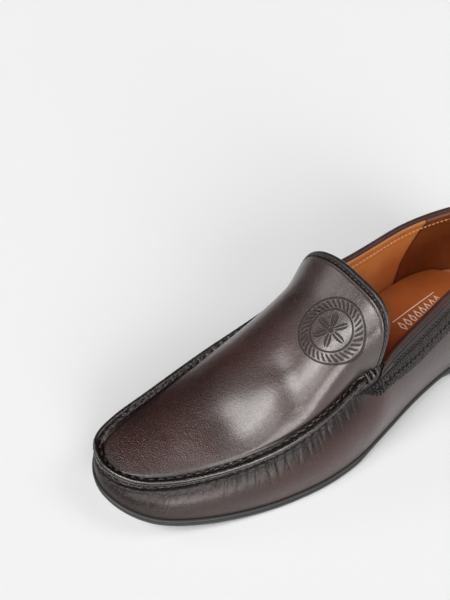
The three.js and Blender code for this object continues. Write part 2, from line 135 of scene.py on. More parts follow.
def closed_curve(lateral, medial):
    """Points all round the shoe through the stations, evenly spaced in station number."""
    rows = [row[lateral] for row in STATIONS] + [row[medial] for row in STATIONS[-2:0:-1]]
    knots = np.array([tuple(r) + (0.0,) * (3 - len(r)) for r in rows])
    u = np.arange(CURVE_SAMPLES) * TURN / CURVE_SAMPLES
    k = u.astype(int)
    w = (u - k)[:, None]
    p0, p1, p2, p3 = (knots[(k + d) % TURN] for d in (-1, 0, 1, 2))
    d0, d1, d2 = (np.sqrt(np.linalg.norm(b - a, axis=1))[:, None] for a, b in ((p0, p1), (p1, p2), (p2, p3)))
    t1 = ((p1 - p0) / d0 - (p2 - p0) / (d0 + d1) + (p2 - p1) / d1) * d1
    t2 = ((p2 - p1) / d1 - (p3 - p1) / (d1 + d2) + (p3 - p2) / d2) * d1
    curve = p1 + t1 * w + (3 * (p2 - p1) - 2 * t1 - t2) * w**2 + (2 * (p1 - p2) + t1 + t2) * w**3
    turns = np.fft.fftfreq(CURVE_SAMPLES, TURN / CURVE_SAMPLES)
    smooth = np.exp(-2 * (np.pi * SOFTEN * turns) ** 2)[:, None]
    return np.real(np.fft.ifft(np.fft.fft(curve, axis=0) * smooth, axis=0))


sole_curve = closed_curve(0, 2)
rim_curve = closed_curve(1, 3)


def along(curve, u):
    """Point of a closed curve at station u, for any array of stations."""
    at = np.mod(np.asarray(u, float), TURN) * len(curve) / TURN
    low = at.astype(int)
    w = (at - low)[..., None]
    return curve[low % len(curve)] * (1 - w) + curve[(low + 1) % len(curve)] * w


def unit(vectors):
    return vectors / np.maximum(np.linalg.norm(vectors, axis=-1, keepdims=True), 1e-12)


def run_of(curve, u):
    return along(curve, u + NUDGE) - along(curve, u - NUDGE)


def outwards(curve, u):
    run = run_of(curve, u)
    return unit(np.stack([-run[..., 1], run[..., 0], np.zeros_like(run[..., 0])], -1))


def spring_z(x):
    return TOE_SPRING * np.maximum(0, (x - SPRING_START) / SPRING_RUN) ** 2


def tread_z(x):
    return spring_z(x) + ARCH_RISE * (ramp(0.076, 0.084, x) - ramp(0.112, 0.150, x))


def feather_z(x):
    return spring_z(x) + SOLE_EDGE + HEEL_LIFT * (1 - ramp(0.050, 0.140, x))


def from_toe(u):
    return np.abs(np.mod(u, TURN) - TOE)


def along_seam(u):
    """1 beside the seam and 0 behind its ends, at the topline."""
    return 1 - ramp(SEAM_END, CORNER, from_toe(u))


def seam_frame(u):
    """The seam's own frame at station u: its base, up the lips, across them, and their height."""
    crest = along(rim_curve, u)
    run = unit(run_of(rim_curve, u))
    tilt = np.radians(22 + 6 * np.minimum(from_toe(u), CORNER))[..., None]
    rise = np.sin(tilt) * outwards(rim_curve, u) + np.cos(tilt) * UP
    rise = unit(rise - (rise * run).sum(-1, keepdims=True) * run)
    across = unit(np.cross(rise, run))
    height = RIDGE_HEIGHT * along_seam(u)
    return crest - rise * height[..., None], rise, across, height


def seam_point(u, side, high):
    base, rise, across, _ = seam_frame(u)
    return base + across * np.asarray(side)[..., None] + rise * np.asarray(high)[..., None]


def wall_point(u, v):
    """The wall's outer face: u stations round the shoe, v from the feather (0) to the rim (1)."""
    foot = along(sole_curve, u) - 0.001 * outwards(sole_curve, u)
    foot[..., 2] = feather_z(foot[..., 0]) + CLEAR
    chord = seam_frame(u)[0] - foot
    out = unit(np.cross(chord, run_of(rim_curve, u)))
    bulge = np.minimum(0.13 * np.linalg.norm(chord, axis=-1), 0.0045)
    return foot + chord * v[..., None] + out * (bulge * np.sin(np.pi * v))[..., None]


def wall_height(u):
    u = np.asarray(u, float)
    zero = np.zeros_like(u)
    return np.linalg.norm(wall_point(u, zero + 1) - wall_point(u, zero), axis=-1)


def wall_normal(u, v):
    low = np.maximum(v - 0.02, 0)
    high = np.minimum(v + 0.02, 1)
    climb = wall_point(u, high) - wall_point(u, low)
    run = wall_point(u + NUDGE, v) - wall_point(u - NUDGE, v)
    return unit(np.cross(climb, run))


def wall_layer(u, v, offset):
    u, v = np.broadcast_arrays(np.asarray(u, float), np.asarray(v, float))
    return wall_point(u, v) + wall_normal(u, v) * np.asarray(offset)[..., None]


def apron_point(s, turn):
    """The apron's outer face: s from the throat to the toe, turn from lateral (0) to medial (pi)."""
    lateral = seam_point(CORNER + s * CORNER, np.zeros_like(s) - APRON_EDGE, np.zeros_like(s))
    medial = seam_point(TURN - CORNER - s * CORNER, np.zeros_like(s) - APRON_EDGE, np.zeros_like(s))
    forward = ramp(0, 0.5, s)
    square = np.where(np.cos(turn) > 0, *THROAT_SQUARE)
    square = square + (2 - square) * forward
    t = np.sign(np.cos(turn)) * np.abs(np.cos(turn)) ** (2 / square)
    arch = np.clip(np.sin(turn), 0, 1) ** (THROAT_STEEP + (1.3 - THROAT_STEEP) * forward)
    crown = THROAT_RISE * (1 - s) ** 2 + 0.006 * s * (1 - s)
    point = lateral + (medial - lateral) * ((1 - t) / 2)[..., None]
    point[..., 2] += crown * arch
    point[..., 0] -= THROAT_LEAN * arch * (1 - s) ** 6
    return point


def apron_normal(s, turn):
    ahead = apron_point(np.minimum(s + 0.004, 1), turn) - apron_point(np.maximum(s - 0.004, 0), turn)
    over = apron_point(s, np.minimum(turn + 0.02, np.pi)) - apron_point(s, np.maximum(turn - 0.02, 0))
    return unit(np.cross(over, ahead))


# ---- Mesh building ----


def to_row(points):
    """From the last's frame to the row frame."""
    return points + np.array([LAST_X, LAST_Y, 0.0])


def between(here, ahead):
    """Quads from each ring of points to the next."""
    return np.stack([here, ahead, np.roll(ahead, -1, 1), np.roll(here, -1, 1)], -1).reshape(-1, 4)


def loft(names, look, front, back=None, closed=False, ends=(0, -1), **attributes):
    """A piece through rings: `front` lists its rows of points, and `back` those of the other face.
    An open row of rings is closed by a strip at its `ends`, from its front to its back."""
    rings = np.stack(front if back is None else [*front, *back[::-1]], 1)
    grid = np.arange(rings.shape[0] * rings.shape[1]).reshape(rings.shape[:2])
    faces = [between(grid, np.roll(grid, -1, 0)) if closed else between(grid[:-1], grid[1:])]
    if back is not None and not closed:
        for end in ends:
            faces.append(end_strip(grid[end, :len(front)], grid[end, len(front):][::-1]))
    marks = {key: np.stack(rows, 1).reshape(-1, *rows[0].shape[1:]) for key, rows in attributes.items()}
    return piece(names, look, rings.reshape(-1, 3), faces, marks)


def end_strip(front, back):
    """Quads between two rows of points of different lengths. Some of them have doubled corners."""
    i = np.arange(len(front) - 1)
    near = np.round(i * (len(back) - 1) / (len(front) - 1)).astype(int)
    far = np.round((i + 1) * (len(back) - 1) / (len(front) - 1)).astype(int)
    return np.stack([front[i], front[i + 1], back[far], back[near]], -1)


def piece(names, look, points, faces, attributes=()):
    """A smooth mesh with its look and body, which stands for a CAD node. `names` is its own name and
    the node's, `look` its material and slot. A quad with a doubled corner becomes a triangle."""
    name, node = names
    material, slot = look
    quads = np.concatenate(faces)
    doubled = quads == np.roll(quads, -1, 1)
    whole = quads[doubled.sum(1) == 0]
    halves = quads[doubled.sum(1) == 1]
    first = np.argmax(doubled[doubled.sum(1) == 1], 1)
    halves = np.take_along_axis(halves, (first[:, None] + np.array([1, 2, 3])) % 4, 1)
    loops = np.concatenate([whole.ravel(), halves.ravel()])
    sizes = np.concatenate([np.full(len(whole), 4), np.full(len(halves), 3)])
    mesh = bpy.data.meshes.new(name)
    mesh.vertices.add(len(points))
    mesh.vertices.foreach_set("co", to_row(points).astype(np.float32).ravel())
    mesh.loops.add(len(loops))
    mesh.loops.foreach_set("vertex_index", loops.astype(np.int32))
    mesh.polygons.add(len(sizes))
    mesh.polygons.foreach_set("loop_start", (np.cumsum(sizes) - sizes).astype(np.int32))
    mesh.update(calc_edges=True)
    for key, values in dict(attributes).items():
        kind, field = ("FLOAT", "value") if values.ndim == 1 else ("FLOAT_VECTOR", "vector")
        layer = mesh.attributes.new(key, kind, "POINT")
        layer.data.foreach_set(field, values.astype(np.float32).ravel())
    tidy_mesh(mesh)
    mesh.materials.append(material)
    obj = bpy.data.objects.new(name, mesh)
    bpy.context.scene.collection.objects.link(obj)
    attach(obj, "root")
    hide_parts(node)
    return obj


def tidy_mesh(mesh):
    """Joins doubled points and turns all faces outwards."""
    work = bmesh.new()
    work.from_mesh(mesh)
    bmesh.ops.remove_doubles(work, verts=work.verts, dist=2e-6)
    bmesh.ops.dissolve_degenerate(work, edges=work.edges, dist=1e-7)
    bmesh.ops.recalc_face_normals(work, faces=work.faces)
    work.to_mesh(mesh)
    work.free()
    mesh.shade_smooth()
    mesh.validate()


def run_along(curve, stations):
    """Distance run along a curve at each of many close stations."""
    steps = np.linalg.norm(np.diff(along(curve, stations), axis=0), axis=1)
    return np.concatenate([[0], np.cumsum(steps)])


def stations(start, end, spacing, curve=rim_curve):
    """Stations from start to end, so that points on the curve are about `spacing` apart."""
    fine = np.linspace(start, end, 2000)
    travel = run_along(curve, fine)
    count = max(2, int(round(travel[-1] / spacing)) + 1)
    return np.interp(np.linspace(0, travel[-1], count), travel, fine)


def travel_of(u):
    """Distance run along the rim from station 0 to each station of u."""
    fine = np.linspace(-TURN, 2 * TURN, 12000)
    travel = run_along(rim_curve, fine)
    return np.interp(u, fine, travel) - np.interp(0, fine, travel)


# ---- Materials ----


class Nodes:
    """A short way to write the node tree of `owner`, a new material or world."""

    def __init__(self, owner):
        owner.use_nodes = True
        self.owner = owner
        self.tree = owner.node_tree

    def add(self, kind, inputs=None, **settings):
        node = self.tree.nodes.new("ShaderNode" + kind)
        for key, value in settings.items():
            setattr(node, key, value)
        for key, value in (inputs or {}).items():
            self.feed(node.inputs[key], value)
        return node

    def feed(self, socket, value):
        if isinstance(value, bpy.types.NodeSocket):
            self.tree.links.new(value, socket)
        elif isinstance(value, bpy.types.Node):
            self.tree.links.new(value.outputs[0], socket)
        else:
            socket.default_value = value

    def attribute(self, name):
        return self.add("Attribute", attribute_name=name).outputs["Fac"]

    def vector_attribute(self, name):
        return self.add("Attribute", attribute_name=name).outputs["Vector"]

    def math(self, operation, a, b=0.0):
        return self.add("Math", {0: a, 1: b}, operation=operation).outputs[0]

    def plus(self, a, b):
        return self.math("ADD", a, b)

    def times(self, a, b):
        return self.math("MULTIPLY", a, b)

    def size(self, a):
        return self.math("ABSOLUTE", a)

    def spread(self, value, low, high, to_low=0.0, to_high=1.0):
        """Smooth step of a value, from `to_low` at `low` to `to_high` at `high`."""
        node = self.add("MapRange", interpolation_type="SMOOTHSTEP")
        for key, given in (("Value", value), ("From Min", low), ("From Max", high),
                           ("To Min", to_low), ("To Max", to_high)):
            self.feed(node.inputs[key], given)
        return node.outputs[0]

    def place(self):
        return self.add("TexCoord").outputs["Object"]

    def noise(self, scale, detail=3.0, rough=0.5, where=None, distort=0.0):
        node = self.add("TexNoise", {"Scale": scale, "Detail": detail, "Roughness": rough,
                                     "Distortion": distort})
        self.feed(node.inputs["Vector"], where or self.place())
        return node.outputs["Fac"]

    def uneven(self, base, reach, scale, detail=3.0):
        """A value that wanders between `base` and `base` plus `reach`."""
        return self.plus(self.times(self.noise(scale, detail), reach), base)

    def cells(self, scale, where):
        node = self.add("TexVoronoi", {"Scale": scale, "Vector": where}, feature="DISTANCE_TO_EDGE")
        return node.outputs["Distance"]

    def blend(self, factor, a, b):
        return self.add("Mix", {0: factor, 6: a, 7: b}, data_type="RGBA").outputs[2]

    def bump(self, height, strength, distance, normal=None):
        node = self.add("Bump", {"Height": height, "Strength": strength, "Distance": distance})
        if normal is not None:
            self.feed(node.inputs["Normal"], normal)
        return node.outputs[0]

    def surface(self, **values):
        shader = self.tree.nodes["Principled BSDF"]
        for key, value in values.items():
            self.feed(shader.inputs[key.replace("_", " ")], value)
        return self.owner


def material_nodes(name):
    return Nodes(bpy.data.materials.new(name))


def rgb(r, g, b):
    return (r, g, b, 1.0)


BURGUNDY = rgb(0.032, 0.0074, 0.0056)
BROWN = rgb(0.018, 0.0068, 0.0050)
# Nearly black: the colour of the burnish, and of the painted shade that the same mask carries.
BURNISH_AND_SHADE = rgb(0.0040, 0.0032, 0.0032)


def grain(n, fine=880.0):
    """Leather grain: small uneven cells over a softer roll."""
    where = n.place()
    pebble = n.spread(n.cells(fine, where), 0.0, 0.45)
    roll = n.noise(fine * 0.45, 4.0, 0.6, where)
    pores = n.noise(fine * 1.9, 2.0, 0.6, where)
    mixed = n.plus(n.times(pebble, 0.6), n.times(roll, 1.0))
    return n.plus(mixed, n.times(pores, 0.6))


def wrinkles(n):
    """Fine creases that run down the leather from the seam, in the leather's own coordinates."""
    place = n.add("Mapping", {"Vector": n.vector_attribute("drape"), "Scale": (900.0, 70.0, 1.0)})
    fine = n.noise(1.0, 3.0, 0.6, place.outputs[0], distort=0.5)
    return n.times(fine, n.attribute("gathered"))


def upper_leather(name, specular, coats, emblem=False):
    """Burnished calf: burgundy brown that darkens to nearly black by the seams and edges. The same darkening
    paints shade into the gap above the sole and over the apron's far side. `coats` is the mattness of
    the glossiest leather, its coat, and the coat of the most matte leather."""
    n = material_nodes(name)
    edge = n.attribute("burnish")
    cloud = n.noise(17.0, 4.0, 0.55)
    tint = n.blend(n.spread(cloud, 0.36, 0.66), BROWN, BURGUNDY)
    uneven = n.times(n.math("SUBTRACT", n.noise(42.0, 4.0, 0.62), 0.5), 0.6)
    dark = n.plus(edge, uneven)
    colour = n.blend(n.spread(dark, 0.15, 0.95), tint, BURNISH_AND_SHADE)
    rough = n.uneven(0.245, 0.12, 60.0)
    matte = n.attribute("matte")
    rough = n.plus(rough, n.times(matte, 0.13))
    pebbles = grain(n)
    normal = n.bump(pebbles, n.spread(matte, 0.0, 1.0, 0.75, 1.0), 0.00022)
    normal = n.bump(n.noise(70.0, 2.0, 0.5, distort=0.8), 0.3, 0.0008, normal)
    normal = n.bump(wrinkles(n), 0.7, 0.0005, normal)
    glossiest, most, least = coats
    coat = n.spread(matte, glossiest, 0.9, most, least)
    coat = n.times(coat, n.spread(pebbles, 0.75, 1.35, 0.68, 1.0))
    if emblem:
        marks = ornament(n)
        colour = n.blend(n.times(marks, 0.85), colour, rgb(0.0045, 0.0038, 0.0038))
        normal = n.bump(n.times(marks, -1.0), 1.0, 0.0010, normal)
        rough = n.plus(rough, n.times(marks, 0.30))
        coat = n.times(n.math("SUBTRACT", 1.0, marks), coat)
    return n.surface(Base_Color=colour, Roughness=rough, Normal=normal, Specular_IOR_Level=specular,
                     Specular_Tint=rgb(1.0, 0.86, 0.83), Coat_Weight=coat, Coat_Roughness=0.24, Coat_IOR=1.6)


ROPE_RING, ROPE_WIDTH = 0.0152, 0.0019          # radius of the ornament's rope, and half its width
ROPE_STRANDS = 34.0
PLAIN_RINGS = (0.0120, 0.0184)
RING_WIDTH = 0.0005
PETAL_LENGTH = 0.0100


def ornament(n):
    """How much of a pressed mark there is: a rope ring with a six-petalled rosette inside."""
    place = n.vector_attribute("ornament")
    parts = n.add("SeparateXYZ", {0: place})
    radius = n.add("VectorMath", {0: place}, operation="LENGTH").outputs["Value"]
    angle = n.math("ARCTAN2", parts.outputs[1], parts.outputs[0])

    def band(value, centre, half):
        gap = n.size(n.math("SUBTRACT", value, centre))
        return n.spread(gap, half * 1.25, half * 0.75)

    twist = n.plus(n.times(angle, ROPE_STRANDS), n.times(radius, 1500.0))
    strands = n.spread(n.math("SINE", twist), -0.25, 0.35)
    rope = n.times(band(radius, ROPE_RING, ROPE_WIDTH), strands)
    folded = n.times(angle, 3.0)
    petal_edge = n.times(n.size(n.math("COSINE", folded)), PETAL_LENGTH)
    inside = n.spread(n.math("SUBTRACT", petal_edge, radius), 0.0, 0.0005)
    vein = n.spread(n.times(n.size(n.math("SINE", folded)), radius), 0.0012, 0.0007)
    petals = n.times(n.times(inside, n.spread(radius, 0.0020, 0.0026)),
                    n.math("SUBTRACT", 1.0, vein))
    heart = n.spread(radius, 0.0016, 0.0012)
    marks = rope
    for part in (*(band(radius, ring, RING_WIDTH) for ring in PLAIN_RINGS), petals, heart):
        marks = n.math("MAXIMUM", marks, part)
    return marks


def edge_leather(name, light, dark):
    """Leather of the collar bands and the topline, nearly black where it is burnished, and with painted
    shade in the collar's punched holes and groove.
    """
    n = material_nodes(name)
    worn = n.spread(n.noise(30.0, 4.0, 0.6), 0.42, 0.72)
    base = n.blend(worn, dark, light)
    colour = n.blend(n.attribute("burnish"), base, rgb(0.0035, 0.0035, 0.0037))
    rough = n.uneven(0.34, 0.14, 70.0)
    rough = n.plus(rough, n.times(n.attribute("burnish"), 0.12))
    coat = n.spread(n.attribute("burnish"), 0.3, 1.0, 0.45, 0.0)
    normal = n.bump(grain(n), 0.7, 0.00030)
    return n.surface(Base_Color=colour, Roughness=rough, Normal=normal, Specular_IOR_Level=0.22,
                     Coat_Weight=coat, Coat_Roughness=0.36)


def lining_leather(name, light, dark, printed=False):
    """Tan lining leather with a fine even grain and faint handling marks."""
    n = material_nodes(name)
    cloud = n.spread(n.noise(24.0, 5.0, 0.6), 0.3, 0.72)
    colour = n.blend(cloud, dark, light)
    # Painted shade from the mask: darker at the linings' ends, feet, creases and rolled tops, and round the
    # sock's rim.
    colour = n.blend(n.times(n.attribute("burnish"), 0.75), colour, rgb(0.055, 0.016, 0.006))
    rough = n.uneven(0.44, 0.12, 90.0)
    if printed:
        foil = sock_print(n)
        colour = n.blend(foil, colour, rgb(0.93, 0.86, 0.74))
        rough = n.plus(rough, n.times(foil, -0.08))
    normal = n.bump(grain(n, 900.0), 0.5, 0.00020)
    normal = n.bump(n.noise(120.0, 3.0, 0.6), 0.25, 0.0005, normal)
    return n.surface(Base_Color=colour, Roughness=rough, Normal=normal, Specular_IOR_Level=0.45)


def sock_print(n):
    """How much foil there is: a row of lozenges between two plain lines across the sock."""
    parts = n.add("SeparateXYZ", {0: n.vector_attribute("ornament")})
    across, ahead = parts.outputs[0], parts.outputs[1]
    within = n.spread(n.size(across), 0.0209, 0.0206)
    phase = n.size(n.math("SUBTRACT", n.math("FRACT", n.times(across, 1 / 0.0052)), 0.5))
    reach = n.plus(n.times(phase, 0.0052), n.times(n.size(ahead), 0.42))
    outer = n.spread(reach, 0.00215, 0.00195)
    inner = n.spread(reach, 0.00105, 0.00120)
    lozenges = n.times(outer, inner)
    lines = n.spread(n.size(n.math("SUBTRACT", n.size(ahead), 0.0066)), 0.00042, 0.00030)
    return n.times(within, n.math("MAXIMUM", lozenges, lines))


def rubber(name, dark, light):
    """Black moulded rubber with a fine mould texture."""
    n = material_nodes(name)
    colour = n.blend(n.noise(60.0, 3.0, 0.5), dark, light)
    rough = n.uneven(0.34, 0.15, 160.0)
    normal = n.bump(n.noise(1900.0, 2.0, 0.5), 0.25, 0.00012)
    return n.surface(Base_Color=colour, Roughness=rough, Normal=normal, Specular_IOR_Level=0.5)


def thread(name, colour, rough):
    """Waxed twisted thread."""
    n = material_nodes(name)
    twist = n.add("TexWave", {"Scale": 900.0, "Distortion": 1.5, "Detail": 1.0}, bands_direction="DIAGONAL")
    n.feed(twist.inputs["Vector"], n.place())
    shade = n.blend(twist.outputs["Fac"], rgb(*[c * 0.6 for c in colour]), rgb(*colour))
    normal = n.bump(twist.outputs["Fac"], 0.4, 0.00012)
    return n.surface(Base_Color=shade, Roughness=rough, Normal=normal, Specular_IOR_Level=0.9)


def plain_stuff(name, light, dark, scale, rough, metallic=0.0, bump=0.3):
    """A hidden inner material: board, cork, foam, stiffener or steel."""
    n = material_nodes(name)
    fleck = n.noise(scale, 4.0, 0.65)
    colour = n.blend(n.spread(fleck, 0.35, 0.65), dark, light)
    normal = n.bump(n.noise(scale * 2.5, 3.0, 0.6), bump, 0.0004)
    return n.surface(Base_Color=colour, Roughness=rough, Metallic=metallic, Normal=normal)


# Each look is a material and the name of its slot.
wall_look = (upper_leather("upper_leather", 0.46, (-1.0, 1.0, 0.17)), "upper_leather")
apron_look = (upper_leather("apron_leather", 0.75, (0.0, 1.0, 0.35), emblem=True), "upper_leather")
collar_look = (edge_leather("collar_leather", rgb(0.048, 0.0290, 0.0260), rgb(0.024, 0.0162, 0.0150)),
               "edge_leather")
binding_look = (edge_leather("binding_leather", rgb(0.110, 0.0420, 0.0330), rgb(0.060, 0.0240, 0.0190)),
                "edge_leather")
# Brighter tan than the leather's own: partly its colour, partly painted fill light inside the shoe.
lining_look_with_painted_fill = (lining_leather("lining_leather", rgb(0.84, 0.300, 0.085), rgb(0.68, 0.215, 0.054)),
               "lining_leather")
heel_look = (lining_leather("heel_lining_leather", rgb(0.30, 0.082, 0.020), rgb(0.19, 0.047, 0.012)),
             "lining_leather")
sock_look = (lining_leather("sock_leather", rgb(0.54, 0.145, 0.034), rgb(0.40, 0.100, 0.022), printed=True),
             "lining_leather")
rubber_look = (rubber("rubber_sole", rgb(0.0085, 0.0085, 0.0080), rgb(0.019, 0.0185, 0.017)), "rubber_sole")
# Lighter rubber than the sole's: partly the rand's own grey, partly a painted highlight along its top.
rand_tone_and_sheen_look = (rubber("rubber_rand", rgb(0.032, 0.031, 0.029), rgb(0.050, 0.048, 0.044)), "rubber_sole")
dark_thread_look = (thread("dark_thread", (0.010, 0.0085, 0.0080), 0.42), "dark_thread")
cord_look = (thread("waxed_cord", (0.012, 0.0095, 0.0090), 0.24), "dark_thread")
tan_thread_look = (thread("tan_thread", (0.95, 0.48, 0.17), 0.55), "tan_thread")

# ---- Sole ----

GROOVE_DEPTH = 0.0013
GROOVE_WIDTH = 0.0024
GROOVES = [0.012 + 0.0105 * k for k in range(6)] + [0.150 + 0.0094 * k for k in range(15)]
WAIST_UNDERCUT = 0.0050         # how far the sole's side leans in under the waist


def tread_relief(x, y, edge):
    """How far a point of the underside is cut back by the tread's wavy grooves."""
    wave = x + 0.0016 * np.sin(y * 2 * np.pi / 0.016)
    away = np.min(np.abs(wave[..., None] - np.array(GROOVES)), -1)
    groove = 1 - ramp(GROOVE_WIDTH / 2 - 0.0005, GROOVE_WIDTH / 2, away)
    forefoot = ramp(0.100, 0.120, x)
    return GROOVE_DEPTH * groove * (1 - forefoot * 0.7 * edge)


def outsole():
    u = stations(0, TOE, 0.0005, sole_curve)
    profile = [(0.0, 0.0), (0.0007, 0.04), (0.0010, 0.15), (0.0010, 0.45), (0.0008, 0.75), (0.0, 1.0)]
    sides = []
    for at in (u, TURN - u):
        edge = along(sole_curve, at)
        out = outwards(sole_curve, at)
        x = edge[:, 0]
        top = feather_z(x) - 0.0020
        reach = tread_z(x)
        waist = ramp(0.062, 0.085, x) * (1 - ramp(0.125, 0.160, x))
        columns = []
        for bulge, drop in profile:
            side = bulge - 0.0009 - WAIST_UNDERCUT * waist * drop
            point = edge + out * side[:, None]
            point[:, 2] = top + (reach - top) * drop
            if drop == 1.0:
                point[:, 2] += tread_relief(x, edge[:, 1], 1.0)
            columns.append(point)
        sides.append(columns)
    lateral, medial = sides
    bottom = []
    for w in np.linspace(0, 1, 42)[1:-1]:
        point = lateral[-1] * (1 - w) + medial[-1] * w
        edge = 1 - ramp(0.0, 0.06, min(w, 1 - w))
        point[:, 2] = tread_z(point[:, 0]) + tread_relief(point[:, 0], point[:, 1], edge)
        bottom.append(point)
    return loft(("sole_unit", "outsole"), rubber_look, lateral + bottom + medial[::-1])


def welt_rand():
    u = stations(0, TURN, 0.0011, sole_curve)[:-1]
    edge = along(sole_curve, u)
    out = outwards(sole_curve, u)
    profile = [(-0.006, -0.0017), (-0.0006, -0.0017), (-0.0001, -0.0014), (0.0002, -0.0009),
               (0.0001, -0.0004), (-0.0004, -0.0001), (-0.0012, 0.0), (-0.006, 0.0)]
    points = []
    for side, high in profile:
        point = edge + out * side
        point[:, 2] = feather_z(point[:, 0]) + high
        points.append(point)
    return loft(("sole_rand", "welt_rand"), rand_tone_and_sheen_look, points, closed=True)


# ---- Upper ----

# The seam's two lips in its own frame, sideways and upwards: the apron's lip lies over the wall's.
WALL_LIP = [(0.0027, -0.0001), (0.00215, 0.0005), (0.0019, 0.0013), (0.00185, 0.0021), (0.00175, 0.0028),
            (0.00150, 0.0033), (0.00115, 0.00355), (0.00085, 0.0035), (0.00070, 0.0031), (0.0005, 0.0016)]
APRON_LIP = [(0.0028, -0.0004), (0.0021, 0.0001), (0.00185, 0.0010), (0.00180, 0.0022), (0.00165, 0.0032),
             (0.00125, 0.0040), (0.00070, 0.0043), (0.0, 0.00435), (-0.00045, 0.0042), (-0.00072, 0.0038),
             (-0.00055, 0.0033), (-0.0001, 0.0016)]
STITCH_ROWS = (1, 2, 3)         # rows of a lip that the stitches pull in
LIP_CREST = (4, 5, 6)           # rows of the wall's lip whose burnish is rubbed off
WRINKLE_PITCH = 0.0017          # mean spacing of the wall's creases beside the seam
LIP_WIDTH = 0.0027              # depth below the rim where the wall's leather turns up into its lip
SEAM_FOOT = 0.004               # and where the gathers below the seam begin
TURNED_IN = 0.007               # how far the wall reaches in under the insole


def stitch_phase(u):
    """Phase of the seam's stitches at station u, a whole turn for each stitch."""
    return 2 * np.pi * travel_of(u) / STITCH_PITCH


def pucker_strength(u):
    """How strongly the stitches gather the wall: most beside the ball, little at the toe tip."""
    return 0.40 + 0.60 * ramp(1.0, 4.0, from_toe(u)) * (1 - ramp(6.6, 7.7, from_toe(u)))


def lip_rows(u, profile, sign, gather):
    """Rows of points over a lip. The stitches pull the foot of its flank in."""
    base, rise, across, height = seam_frame(u)
    scale = height / RIDGE_HEIGHT
    rows = []
    for index, (side, high) in enumerate(profile):
        pull = 0.0 if index not in STITCH_ROWS else 0.00042 * gather
        width = sign * (side - pull) * (0.25 + 0.75 * scale)
        rows.append(base + across * width[:, None] + rise * (high * scale)[:, None])
    return rows


def wrinkle_set(u):
    """Creases that run down the wall from the seam: place, width, depth, length and slant of each."""
    travel = travel_of(u)
    place = np.arange(travel.min(), travel.max(), WRINKLE_PITCH)
    place = place + rng.normal(0, 0.35 * WRINKLE_PITCH, len(place))
    width = rng.uniform(0.00045, 0.0009, len(place))
    depth = rng.uniform(0.00005, 0.00026, len(place))
    length = rng.uniform(0.004, 0.016, len(place))
    slant = rng.normal(0.0, 0.16, len(place))
    return place, width, depth, length, slant


def crease_depth(creases, travel, below):
    """How deep the creases are at each point of a row, by how far along and below the rim it lies."""
    total = np.zeros_like(travel)
    for place, width, depth, run, slant in zip(*creases):
        near = np.abs(travel - place) < 0.006
        shift = (travel[near] - place - slant * below[near]) / width
        fade = bell(np.maximum(below[near] - SEAM_FOOT, 0), run)
        total[near] -= depth * np.exp(-shift**2) * fade
    return total


def wall_upper():
    front = stations(CORNER, TURN - CORNER, 0.0005)
    back = stations(TURN - CORNER, TURN + CORNER, 0.0012)[1:-1]
    u = np.concatenate([front, np.mod(back, TURN)])
    travel = travel_of(u)
    phase = stitch_phase(u)
    strength = pucker_strength(u)
    length = wall_height(u)
    in_front = along_seam(u)
    end = 1 - LIP_WIDTH / length * in_front
    creases = wrinkle_set(front)
    toe = 0.80 * (1 - ramp(0.5, 5.5, from_toe(u)))
    reach = 0.009 + 0.007 * ramp(4.5, 7.5, from_toe(u))
    rows = []
    tones = {"burnish": [], "matte": [], "gathered": [], "drape": []}
    for share in np.concatenate([np.linspace(0, 0.5, 20)[:-1], np.linspace(0.5, 1, 46)]):
        v = share * end
        below = (1 - v) * length
        fold = 0.00045 * bell(below - 0.0046, 0.0011)
        gap = -0.00025 * bell(below - 0.0029, 0.0006)
        ripple = -0.00030 * strength * np.cos(phase) * np.exp(-np.maximum(below - SEAM_FOOT, 0) / 0.0035)
        crease = crease_depth(creases, travel, below) * strength * ramp(0.0022, 0.0042, below)
        rows.append(wall_layer(u, v, (fold + gap + ripple + crease) * in_front))
        near_seam = bell(below - SEAM_FOOT, reach) * in_front
        near_top = np.exp(-below / 0.012) * (1 - in_front)
        # Painted shadow: a dark line along the wall's foot, in the gap above the rand.
        painted_gap_shadow = bell(v * length, 0.0013)
        near_sole = np.maximum(0.7 * np.exp(-v * length / 0.004), painted_gap_shadow)
        shine = (1 - ramp(1.5, 4.5, from_toe(u))) * (1 - near_seam)
        tones["burnish"].append(np.maximum.reduce([0.95 * near_seam, near_top, near_sole, toe]))
        tones["matte"].append(np.maximum(0.9 * near_seam - shine, painted_gap_shadow))
        tones["gathered"].append(in_front * strength * np.exp(-below / 0.014))
        tones["drape"].append(np.stack([travel, below, 0 * u], 1))
    lip = lip_rows(u, WALL_LIP, 1.0, (0.5 + 0.5 * np.cos(phase)) * strength)
    for index, row in enumerate(lip):
        plain = wall_layer(u, 1.0, -LEATHER * index / (len(lip) - 1))
        rows.append(row * in_front[:, None] + plain * (1 - in_front[:, None]))
        tones["burnish"].append(np.full_like(u, 0.55 if index in LIP_CREST else 0.95))
        tones["matte"].append(-0.8 * in_front)
    inner = [wall_layer(u, share * end, -LEATHER) for share in (0.97, 0.75, 0.5, 0.25, 0.04)]
    under = along(sole_curve, u) - TURNED_IN * outwards(sole_curve, u)
    under[:, 2] = feather_z(under[:, 0]) + CLEAR
    rows += inner + [under]
    rest = {"burnish": 1.0, "matte": 1.0, "gathered": 0.0, "drape": 0.0}
    for key, columns in tones.items():
        columns += [np.full_like(columns[0], rest[key])] * (len(rows) - len(columns))
    return loft(("wall_leather", "wall_upper"), wall_look, rows, closed=True, **tones)


THROAT_BAND = 0.0034            # width of the rolled edge of the throat, outside its stitches
LIP_TRIM = 0.0028               # how far short of the seam the apron's sheet meets its lip
FAR_SIDE_SHADE = (0.62 * np.pi, np.pi)    # turns over which painted shade darkens the medial side
FLEX_CREASE = np.array([(0.1852, 0.0145), (0.1912, 0.0415)])    # its ends on the last, from above
TOE_HOLLOW = np.array([0.2234, 0.0185])


